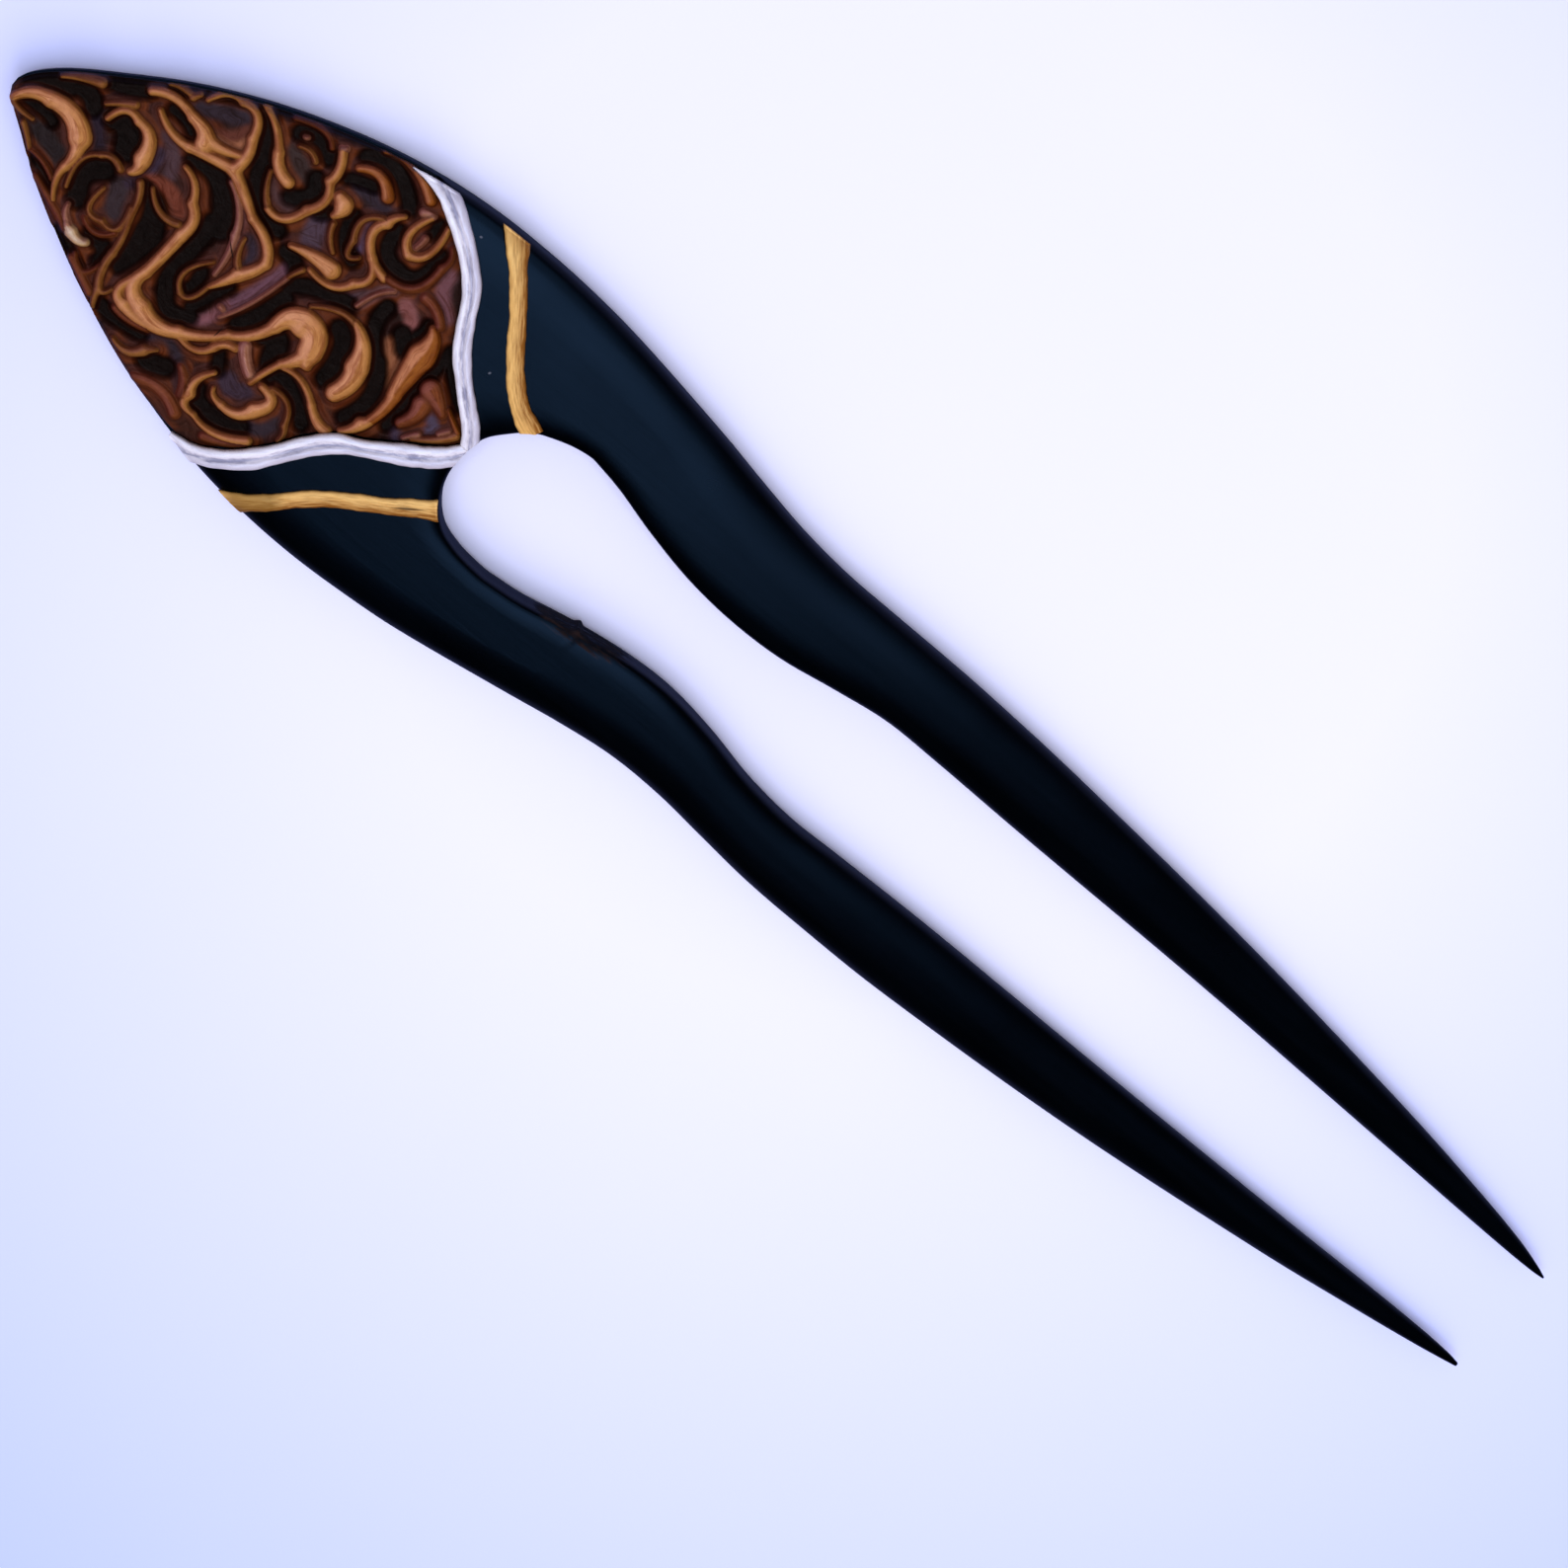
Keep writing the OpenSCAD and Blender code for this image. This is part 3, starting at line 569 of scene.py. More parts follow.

# %% [markdown]
# The paper has a painted pool of light: its colour is brightest near the middle of the picture and falls
# off to a cool blue, as the light does, and it has a very faint mottle and a bump of fibres. One square is
# enough for it, and it is marked as the stage, because it isn't part of the fork.

# %% The paper
# Painted pool of light on the paper: its middle and its reach, then the paper's white, the painted fall-off
# colour, the mottle and the colour seen in the shine
LIGHT_POOL_MIDDLE = (74, 20, 0)
LIGHT_POOL_FADE = (230, 230)
PAPER_WHITE, PAPER_PAINTED_FALLOFF, PAPER_CLOUD, PAPER_IN_SHINE = (
    srgb(c) for c in ("#fbf9fb", "#b9caff", "#dfe6fa", "#5a607e"))


def paper():
    """White paper: a faint mottle, and a painted fall-off of the light, a colour that cools and dims away
    from the middle. A ray that left a shiny surface finds the paper dim and blue."""
    finish = Finish("white_paper", 0.0, 0.2)
    # Painted pool of light: white in the middle, cooler and dimmer away from it
    near = finish.spread(finish.within(LIGHT_POOL_MIDDLE, LIGHT_POOL_FADE), 0.374, 0.809)
    cloud = finish.spread(finish.noise(0.02, 2), 0.35, 0.65, 0.0, 0.05)
    shade = finish.mix(cloud, finish.mix(near, PAPER_PAINTED_FALLOFF, PAPER_WHITE), PAPER_CLOUD)
    in_shine = finish.add("ShaderNodeLightPath").outputs["Is Glossy Ray"]
    fibres = finish.bump(finish.noise(6.0, 4), 0.02, 0.3)
    return finish.done(finish.mix(in_shine, shade, PAPER_IN_SHINE), 0.9, fibres)


FLOOR_HALF = 0.6
floor_points = np.array([(-1, -1, 0), (1, -1, 0), (1, 1, 0), (-1, 1, 0)], dtype=float) * FLOOR_HALF
floor = make_piece("paper_floor", floor_points, np.array([[0, 1, 2, 3]]), [], paper())
floor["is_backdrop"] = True

# %% [markdown]
# Black stained wood with a rubbed satin finish. The stain hides most of the grain, so it stays
# only as a very fine bump along the prongs. The inner wall of the right prong has one bare,
# brownish scuff by the splinter, duller than the rest, and a few pale specks of dust sit on the
# head. A noise that is stretched along x gives the grain, and oval spots place the marks.

# %% Finish of the black wood
STAIN_DARK, STAIN_PALE = (0.0001, 0.0003, 0.0006), (0.0004, 0.001, 0.0018)
BARE_DARK, BARE_PALE, DUST = (0.0006, 0.0004, 0.0003), srgb("#2c190f"), srgb("#8d8a86")
# Marks: centre on the chart, half widths, turn
SCUFF = ((61.5, -4.7, 3), (8, 1.6), 8)
SPECKS = [((34.8, 15, 5), (0.2, 0.14), 20), ((42.2, 7.2, 5), (0.2, 0.14), 60)]


def black_wood():
    """Stained wood: long grain as noise stretched along x, fine pores, a scuff and dust."""
    finish = Finish("black_wood", 0.0, 0.3)
    grain = finish.noise(1.0, 5, 0.6, finish.waves(0.05, 1.1, 1.1))
    pores = finish.noise(1.0, 3, 0.5, finish.waves(1.2, 9, 9))
    ragged = finish.noise(1.0, 4, 0.65, finish.waves(0.5, 2.5, 2.5))
    stain = finish.mix(finish.spread(grain, 0.35, 0.7), STAIN_DARK, STAIN_PALE)
    scuff = finish.spread(finish.within(*SCUFF), 0, 0.5)
    bare = finish.spread(finish.math("ADD", scuff, ragged), 1.2, 1.5)
    brown = finish.mix(finish.spread(ragged, 0.4, 0.65), BARE_DARK, BARE_PALE)
    specks = finish.math("MAXIMUM", *(finish.within(*speck) for speck in SPECKS))
    dusty = finish.math("MULTIPLY", finish.spread(specks, 0.2, 0.6), 0.35)
    colour = finish.mix(dusty, finish.mix(bare, stain, brown), DUST)
    sheen = finish.spread(finish.noise(0.12, 3), 0.3, 0.7, 0.27, 0.33)
    roughness = finish.math("MAXIMUM", sheen, finish.math("MULTIPLY", bare, 0.8))
    bumps = finish.bump(pores, 0.006, 0.4, finish.bump(grain, 0.03, 0.35))
    return finish.done(colour, roughness, bumps)


black = black_wood()

# %% [markdown]
# The wood's skin is a ring of points at every station, carried from the left point round the
# head to the right point. Along the top the points stand evenly, so the seat of the panel can be
# let in, and at the rounded edges they follow the angle of the superellipse, which keeps the
# corners smooth.

# %% Rings of the wood
TOP_POINTS = 117
UNDER_POINTS = 25
# The even part of the top: how far q goes in it, and its share of the points
EVEN_REACH = 0.93
EVEN_SHARE = 0.74
# How far the underside's curve would dip below its flat
FLAT_CUT = 0.12
# Seat: height of its floor, and where its outline leaves the cords at the notch
SEAT_HEIGHT = 3.0
SEAT_END_X = 44.3
# How far outside the wood the seat's outline is closed
OFF_WOOD = 4.0


def section_places(w, n):
    """Place across and height share of a section's top at w from -1 to 1. In the even part q is
    in step with w. Beyond it the angle b of the superellipse falls evenly to 0, with
    q = cos(b)^(2/n) and height share = sin(b)^(2/n)."""
    size = np.abs(w)
    at_reach = np.arccos(EVEN_REACH ** (n / 2))
    b = at_reach * np.clip((1 - size) / (1 - EVEN_SHARE), 0, 1)
    corner_q = np.cos(b) ** (2 / n)
    q = np.where(size < EVEN_SHARE, size / EVEN_SHARE * EVEN_REACH, corner_q)
    rise = np.where(size < EVEN_SHARE, dome(q, n), np.sin(b) ** (2 / n))
    return np.sign(w) * q, rise


def seat_outline():
    """Outline of the panel's seat: the middle lines of the two silver cords, and then off the wood."""
    s = np.linspace(0, 1, 60)
    left, right = along(SILVER_LEFT, s)[:, :2], along(SILVER_RIGHT, s[::-1])[:, :2]
    left, right = left[left[:, 0] < SEAT_END_X], right[right[:, 0] < SEAT_END_X]
    start = left[0] + np.array([-OFF_WOOD / 2, OFF_WOOD])
    end = right[-1] + np.array([-OFF_WOOD / 2, -OFF_WOOD])
    before_head = HEAD_END_X - OFF_WOOD
    head = np.array([[before_head, WIDEST_RIGHT], [before_head, WIDEST_LEFT]])
    return np.concatenate([[start], left, right, [end], head])


def wood_rings(x, side):
    """Rings of points at stations x on one side: the top from the inner to the outer edge, then
    the underside back, which is cut off flat where it would reach below the table."""
    w = np.linspace(-1, 1, TOP_POINTS)[None, :]
    x = x[:, None]
    n_top = np.where(w < 0, read(SQUARENESS, x, 1), read(SQUARENESS, x, 2))
    q_top, rise_top = section_places(w, n_top)
    low, high = underside(x), topside(x)
    middle = (low + high) / 2
    z_top = middle + (high - middle) * rise_top
    b = np.linspace(0, math.pi, UNDER_POINTS + 2)[None, 1:-1]
    n_low = read(SQUARENESS, x, 3)
    q_low = np.sign(np.cos(b)) * np.abs(np.cos(b)) ** (2 / n_low)
    z_low = np.maximum(low, middle - (middle - low + FLAT_CUT) * np.sin(b) ** (2 / n_low))
    q = np.concatenate([q_top, q_low], axis=1)[..., None]
    z = np.concatenate([z_top, z_low], axis=1)
    i, o = inner_end(x, side), outer_end(x, side)
    p = i + (o - i) * (1 + q) / 2
    z = np.where(inside(p, seat_outline()), np.minimum(z, SEAT_HEIGHT), z)
    return place(p[..., 0], p[..., 1], np.minimum(z, wood_high.z / MM))


print("seat outline:", len(seat_outline()), "places")

# %% [markdown]
# The stations stand closer where the shape changes faster: at the points, at the end of the head
# and at the splinter. All the rings together are one long closed grid, and each of the two
# points gets a small cap.

# %% The wood
PRONG_STATIONS = 120
PRONG_CROWDING = 1.25
HEAD_STATIONS = 130
HEAD_CROWDING = 1.7
# More stations to both sides of the splinter, over this stretch
SPLINTER_STATIONS = 13
SPLINTER_STRETCH = 0.9
POINTS_X = OUTER[-1][0]


def wood(material):
    """Rings from the left point round the head to the right point, closed at both points. Station k
    of n stands at (k / n)^crowding of the prong, or at (1 - k / n)^crowding of the head."""
    k = np.arange(PRONG_STATIONS) / PRONG_STATIONS
    prong_x = POINTS_X - (POINTS_X - NOTCH_CENTRE[0]) * k ** PRONG_CROWDING
    near_splinter = SPLINTER_X + np.linspace(-SPLINTER_STRETCH, SPLINTER_STRETCH, SPLINTER_STATIONS)
    prong_x = np.sort(np.concatenate([prong_x, near_splinter]))[::-1]
    k = np.arange(HEAD_STATIONS) / HEAD_STATIONS
    head_x = HEAD_END_X + (NOTCH_CENTRE[0] - HEAD_END_X) * (1 - k) ** HEAD_CROWDING
    x = np.concatenate([prong_x, head_x, [HEAD_END_X]])
    rings = np.concatenate([wood_rings(x, 1), wood_rings(x[::-1], -1)])
    rows, columns = rings.shape[:2]
    points = rings.reshape(-1, 3)
    quads = grid_faces(rows, columns, closed=True)
    caps = [np.arange(columns)[::-1], (rows - 1) * columns + np.arange(columns)]
    return make_piece("wood", points, quads, caps, material)


fork = wood(black)
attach(fork, "root")
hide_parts("fork_body")

# %% [markdown]
# The panel is clay in relief. Its outline follows the wood's outer edges in front and the silver
# cords behind, and meets in one corner at the notch. A patch stretched between those four edges
# gives a grid whose lines follow the outline, so the rim stays clean: it adds the two surfaces
# ruled between opposite edges and takes away the flat one through the four corners.

# %% Outline and grid of the panel
PANEL_CELLS = 300
# Gap to the cords, and insets from the wood's outer edge and from the end of the head
PANEL_GAP = 0.03
EDGE_INSET = 0.12
HEAD_INSET = 0.1
SIDE_CROWDING = 1.4
# Powers: how late an edge turns to the corner by the cord, to the head's end and to the apex
CORNER_POWER = 12
HEAD_POWER = 30
APEX_POWER = 6
MITRE_STEPS = 1001


def panel_side(t, side, nodes, toward):
    """Front edge of the panel from the head's end to the cord: the wood's outer edge, moved in by
    an inset that grows to reach the corner beside the cord."""
    corner = cord_edge(nodes, np.array([0.0]), toward, PANEL_GAP)[0]
    start = HEAD_END_X + HEAD_INSET
    x = start + (corner[0] - start) * t ** SIDE_CROWDING
    corner_inset = side * (outer_y(corner[0], side) - corner[1])
    inset = EDGE_INSET + (corner_inset - EDGE_INSET) * t ** CORNER_POWER
    return np.stack([x, outer_y(x, side) - side * inset], axis=-1)


def reach_of_mitre(nodes, toward):
    """Share of a cord's route at which its inner edge comes to the mitre, looked up on a fine scale
    over the second half of the route."""
    s = np.linspace(0.5, 1, MITRE_STEPS)
    return s[np.argmin(np.abs(cord_edge(nodes, s, toward, PANEL_GAP)[:, 1] - MITRE_Y))]


def panel_grid(cells):
    """Chart places of the patch: (1-v) left(u) + v back_right(u) + (1-u) right(v) + u back_left(v),
    less the bilinear patch of the four corners. Edges that don't quite meet are drawn together
    at the head and at the apex by a high power of the way along them."""
    t = np.linspace(0, 1, cells + 1)
    left, right = panel_side(t, 1, SILVER_LEFT, -1), panel_side(t, -1, SILVER_RIGHT, 1)
    back_left = cord_edge(SILVER_LEFT, t * reach_of_mitre(SILVER_LEFT, -1), -1, PANEL_GAP)
    back_right = cord_edge(SILVER_RIGHT, t * reach_of_mitre(SILVER_RIGHT, 1), 1, PANEL_GAP)
    head = (left[0] + right[0]) / 2
    apex = (back_left[-1] + back_right[-1]) / 2
    s = t[:, None]
    left = left + (head - left[0]) * (1 - s) ** HEAD_POWER
    right = right + (head - right[0]) * (1 - s) ** HEAD_POWER
    back_left = back_left + (apex - back_left[-1]) * s ** APEX_POWER
    back_right = back_right + (apex - back_right[-1]) * s ** APEX_POWER
    u, v = t[None, :, None], t[:, None, None]
    ruled = (1 - v) * left[None] + v * back_right[None] + (1 - u) * right[:, None] + u * back_left[:, None]
    flat = (1 - u) * (1 - v) * head + u * (1 - v) * left[-1] + (1 - u) * v * right[-1] + u * v * apex
    return ruled - flat


grid = panel_grid(PANEL_CELLS)
low, high = grid.min(axis=(0, 1)), grid.max(axis=(0, 1))
print("panel grid of", grid.shape[:2], "points, from", low.round(2), "to", high.round(2))

# %% [markdown]
# The swirls were pressed by hand from marbled clay: ribbons of copper and cream clay left standing, satin
# brown slopes beside them and nearly black hollows between. A ribbon is a stroke of a brush: it starts at
# one place, bends through another and ends at a third, and its half width changes evenly on the way. The
# strokes are charted by the colour of their clay. Webs are wider strokes that only tint the ground between
# the ribbons: the brown ones with the clay's own colour, and the purple-grey ones with a painted sheen.

# %% Strokes of the swirl
# Each stroke: start x, y, bend x, y, end x, y, half width at the start, half width at the end
COPPER = [
    # End of the head
    (0.4, -0.5, 1.3, 0.8, 2.8, 1.35, 0.25, 0.5), (2.8, 1.35, 4.7, 1.5, 6.3, 0.5, 0.55, 0.85),
    (6.3, 0.5, 6.8, -0.7, 6.8, -2, 0.6, 0.25), (6.8, -2, 6.9, -3.3, 7.7, -4.7, 0.25, 0.06),
    (7, 3.1, 7.7, 4.5, 9, 4.5, 0.15, 0.25), (9, 4.5, 10.4, 4, 11, 2.4, 0.25, 0.6),
    (11, 2.4, 11.2, 1.6, 10.9, 1, 0.55, 0.2),
    # Left side of the head
    (8.3, 7, 10, 7.75, 12, 7.5, 0.25, 0.3), (12, 7.5, 13.3, 7.2, 13.9, 6.5, 0.35, 0.7),
    (9.7, 6.3, 11.4, 5.5, 13.2, 5.5, 0.12, 0.3), (13.2, 5.5, 15, 6, 16.9, 6.4, 0.3, 0.38),
    (13.6, 6.9, 15, 7, 16.6, 7.6, 0.5, 0.2), (16.9, 6.4, 17, 7.9, 16.5, 9.2, 0.42, 0.3),
    (16.5, 9.2, 15.7, 10.8, 14.2, 10.9, 0.3, 0.14), (14.2, 10.9, 12.9, 10.6, 12, 9.3, 0.14, 0.08),
    (16.9, 6.4, 18.6, 5.5, 20.4, 4.4, 0.4, 0.25), (20.4, 4.4, 22.4, 3.6, 23.4, 2.3, 0.28, 0.35),
    (23.4, 2.3, 23, 1.2, 22.3, 0.2, 0.3, 0.45), (22.3, 0.2, 21.8, -0.9, 21.2, -2, 0.45, 0.1),
    (15.4, 11.9, 17.2, 11.2, 18.7, 9.7, 0.08, 0.25), (18.7, 9.7, 19.5, 8.8, 20.7, 8.4, 0.35, 0.4),
    (20.8, 5.8, 22.3, 6, 23.2, 7.7, 0.22, 0.25), (23.2, 7.7, 23.8, 9.2, 23.1, 10.6, 0.28, 0.22),
    (23.1, 10.6, 23.1, 11.8, 22.4, 13.1, 0.3, 0.25), (24.5, 10.2, 25, 10, 25.2, 9.7, 0.4, 0.55),
    (25.1, 9.9, 25.2, 9.3, 25, 8.7, 0.65, 0.15), (24, 4.7, 25.8, 5.2, 27.6, 5.3, 0.15, 0.65),
    (26.3, 4.2, 28.4, 4.3, 29.6, 5.6, 0.12, 0.25), (29.6, 5.6, 30.3, 6.8, 29.4, 8.1, 0.25, 0.2),
    (29.4, 8.1, 28.2, 9.6, 28.6, 11, 0.25, 0.3), (28.6, 11, 28.8, 11.7, 29.3, 12.3, 0.3, 0.1),
    (29.4, 8.1, 30.3, 7.7, 31.1, 7.5, 0.22, 0.28),
    # Middle
    (13.9, 4.1, 15.3, 3.5, 16.1, 2.2, 0.1, 0.25), (16.1, 2.2, 17, 1.2, 17, -0.3, 0.3, 0.42),
    (17, -0.3, 16.9, -2.4, 16.7, -4.4, 0.42, 0.36), (16.7, -4.4, 16.7, -6, 18.2, -6.8, 0.36, 0.65),
    (18.2, -6.8, 20, -7.1, 21.6, -6.4, 0.65, 0.42), (21.6, -6.4, 23.3, -5.4, 24.7, -4, 0.4, 0.22),
    (24.7, -4, 26.1, -2.9, 27.1, -1, 0.22, 0.42), (27.1, -1, 27.6, 0.2, 28.7, 0.6, 0.5, 1.05),
    (28.7, 0.6, 29.8, 0.4, 30.4, -0.8, 1.05, 0.95), (30.4, -0.8, 30.7, -1.6, 31, -1.9, 0.8, 0.25),
    (30.4, -1.5, 29.9, -2.3, 29.3, -3.1, 0.6, 0.2), (29.3, -3.1, 28.8, -4.4, 28.4, -5.8, 0.2, 0.18),
    (16.2, -5.6, 16, -7, 17, -7.5, 0.2, 0.42), (17, -7.5, 18.6, -7.7, 20.4, -7.3, 0.42, 0.2),
    (22, -6.7, 23.6, -6.6, 24.5, -5.5, 0.12, 0.22), (24.5, -5.5, 25, -4.8, 25.8, -4.5, 0.25, 0.22),
    (29.7, -3.2, 31.4, -3.1, 33.2, -4.1, 0.12, 0.2), (33.2, -4.1, 34.3, -4.8, 35.4, -5, 0.22, 0.4),
    (29.3, -5.5, 30.6, -6, 30, -7.4, 0.2, 0.55), (30, -7.4, 29.2, -8.5, 27.8, -8.75, 0.5, 0.22),
    (27.8, -8.75, 26.9, -8.6, 26.5, -8.1, 0.2, 0.06), (25.8, -7.1, 25.1, -8.4, 25.3, -9.7, 0.1, 0.35),
    (25.3, -9.7, 25.5, -10.6, 26.6, -10.8, 0.38, 0.1), (26.6, -10.8, 28.8, -10.9, 31.2, -9.7, 0.1, 0.3),
    # Back of the head
    (37.6, -0.9, 37.5, -2, 37.1, -2.7, 0.2, 0.4), (37.1, -2.7, 36.8, -3.5, 36.2, -4.2, 0.42, 0.15),
    (31.7, 3.3, 33.2, 2.3, 34, 0.6, 0.2, 0.85), (34, 0.6, 34.3, -0.7, 33.95, -2.1, 0.85, 0.65),
    (31, 13.7, 30.4, 11.5, 31.4, 10.2, 0.15, 0.28), (31.4, 10.2, 32.6, 11.3, 32.5, 13.8, 0.28, 0.15)]
BRONZE = [
    (0.6, -0.75, 1.5, -0.85, 2.6, -0.8, 0.2, 0.06), (2.2, -1.5, 2.9, -2, 3.8, -2.8, 0.18, 0.1),
    (2.3, 3.3, 3.6, 4.25, 5, 4.9, 0.06, 0.3), (6.2, 3.9, 7.1, 4.7, 8, 5.3, 0.1, 0.22),
    (9, 8.3, 9.8, 8.65, 10.7, 8.75, 0.08, 0.12), (11, 8.7, 11.1, 8.9, 11.3, 9.2, 0.22, 0.12),
    (10.1, -1.4, 10.2, -3.4, 11.6, -3.5, 0.08, 0.16), (11.6, -3.5, 12.9, -3.2, 12.7, -1.2, 0.14, 0.14),
    (12, 0.8, 12.7, -0.3, 13.1, -1.9, 0.2, 0.15), (13.1, -1.9, 13.6, -3.4, 13.8, -5, 0.15, 0.2),
    (13.8, -5, 14, -6.6, 14.7, -7.9, 0.22, 0.25), (14.7, -7.9, 15.2, -7.8, 15.5, -7.2, 0.2, 0.06),
    (14.7, -8, 14.9, -8.7, 15.2, -9.3, 0.2, 0.1), (8.4, 0.5, 7.4, -0.9, 7.8, -3.2, 0.1, 0.08),
    (8.4, 0.5, 9.2, 0.9, 10.2, 0.6, 0.12, 0.18), (19.7, -3.9, 19, -2.4, 20.2, -0.3, 0.12, 0.06),
    (19.7, -3.9, 20.6, -3.7, 21.1, -2.2, 0.1, 0.1), (20.9, 2.7, 21.3, 1.4, 22, 0.6, 0.08, 0.22),
    (19.1, 8.2, 19.8, 6.8, 20.8, 5.8, 0.06, 0.2), (19.6, 11.2, 20.5, 11.4, 21.3, 11.05, 0.08, 0.12),
    (25.4, 8.2, 25.9, 7.2, 26.8, 6.4, 0.18, 0.06),
    (28.4, 11.2, 27, 10, 27.4, 8.2, 0.12, 0.15), (27.4, 8.2, 27.8, 7, 28.6, 7.4, 0.15, 0.08),
    (13, 1.1, 14.6, 0, 16.3, 0.2, 0.06, 0.2), (18, -10.2, 19.4, -10.3, 20.4, -9.4, 0.12, 0.34),
    (20.4, -9.4, 20.8, -9, 21.2, -8.7, 0.3, 0.06), (30, -5.1, 31.7, -5.3, 32.6, -6.8, 0.08, 0.15),
    (32.6, -6.8, 33, -7.4, 33, -8.1, 0.15, 0.1), (28.2, 2, 30, 3.1, 31.7, 3.2, 0.06, 0.2),
    (25.4, 2.6, 25.6, 3.2, 25.9, 3.8, 0.08, 0.14), (40.9, -1, 42.4, 0.2, 43.4, 1.5, 0.15, 0.35)]
OCHRE = [
    (36.6, 6.9, 37.2, 6, 37.3, 4.6, 0.2, 1), (37.3, 4.6, 37.4, 2.6, 37.6, 0.8, 1, 0.5),
    (37.7, 0.8, 37.7, -0.9, 37.4, -2.2, 0.45, 0.3), (24.9, 15.4, 27.4, 15.8, 30, 14.6, 0.25, 0.35),
    (24.2, 12.9, 25.8, 13.5, 27.3, 12.6, 0.2, 0.4), (41.7, 2.7, 42.6, 2.2, 43.4, 1.8, 0.06, 0.15)]
CREAM = [
    (9.7, -5.45, 10, -5.65, 10.3, -5.75, 0.22, 0.35), (10.3, -5.75, 11.1, -5.9, 11.7, -5.65, 0.38, 0.2)]
PINK = [
    (8.8, -4.2, 9.1, -4.9, 9.8, -5.5, 0.1, 0.28), (23.3, -3.4, 24.5, -0.9, 25.4, 2.5, 0.04, 0.1),
    (26.3, -3.9, 27, -4.7, 28, -5.4, 0.42, 0.38),
    (20.2, 2.4, 20.7, 0.9, 20.9, -1, 0.22, 0.1), (17.4, 5.5, 19.2, 4.2, 20.2, 2.4, 0.12, 0.22),
    (30.2, 13.5, 30.6, 13.7, 31, 13.8, 0.3, 0.2), (31.6, 12, 31.6, 11.6, 31.5, 11, 0.2, 0.15),
    (32.4, 7.2, 31.5, 6.1, 30.9, 4.4, 0.12, 0.12), (40.4, -1.4, 40.7, -0.9, 41.1, -0.4, 0.12, 0.18),
    (42.3, 0.7, 42.5, 1, 42.8, 1.4, 0.12, 0.15), (19.5, 12, 19.6, 12, 19.7, 12.1, 0.1, 0.1),
    (22.2, 13.2, 22.4, 13.3, 22.5, 13.4, 0.18, 0.18), (22.8, -2.7, 22.95, -2.7, 23.1, -2.75, 0.13, 0.13)]
RUSSET = [
    (3.8, -2.8, 5.2, -2.9, 6.6, -3.5, 0.08, 0.12), (5.5, -4.3, 7.8, -5, 9.8, -5.9, 0.2, 0.2),
    (10.4, -4.2, 11.8, -4.6, 13, -3.6, 0.12, 0.15), (11.6, -6.9, 12.9, -7.7, 13.7, -6.2, 0.08, 0.1),
    (11.6, -7.4, 13, -8, 14.3, -8.6, 0.25, 0.3), (18, 12.6, 20.2, 13.3, 21.6, 12.7, 0.08, 0.1),
    (31.2, 7.6, 33.5, 8.4, 34.1, 11, 0.2, 0.25), (34.1, 11, 34.2, 12, 33.7, 12.8, 0.2, 0.1),
    (39.6, 3, 40.6, 2.6, 41.5, 2.1, 0.8, 0.3), (39.8, 1.6, 39.9, 0.5, 39.4, -0.6, 0.7, 0.35),
    (21.2, -11.6, 23.4, -11, 25.4, -11.7, 0.35, 0.45), (23.5, -8.5, 24.4, -9.2, 25, -10.1, 0.2, 0.5),
    (28.3, -11.7, 29.8, -11.1, 31.4, -10.1, 0.3, 0.3),
    (34.6, 8.4, 35.8, 8.2, 36.9, 7.4, 0.35, 0.3), (16.6, -8.2, 18, -8.3, 19.6, -7.9, 0.2, 0.2)]
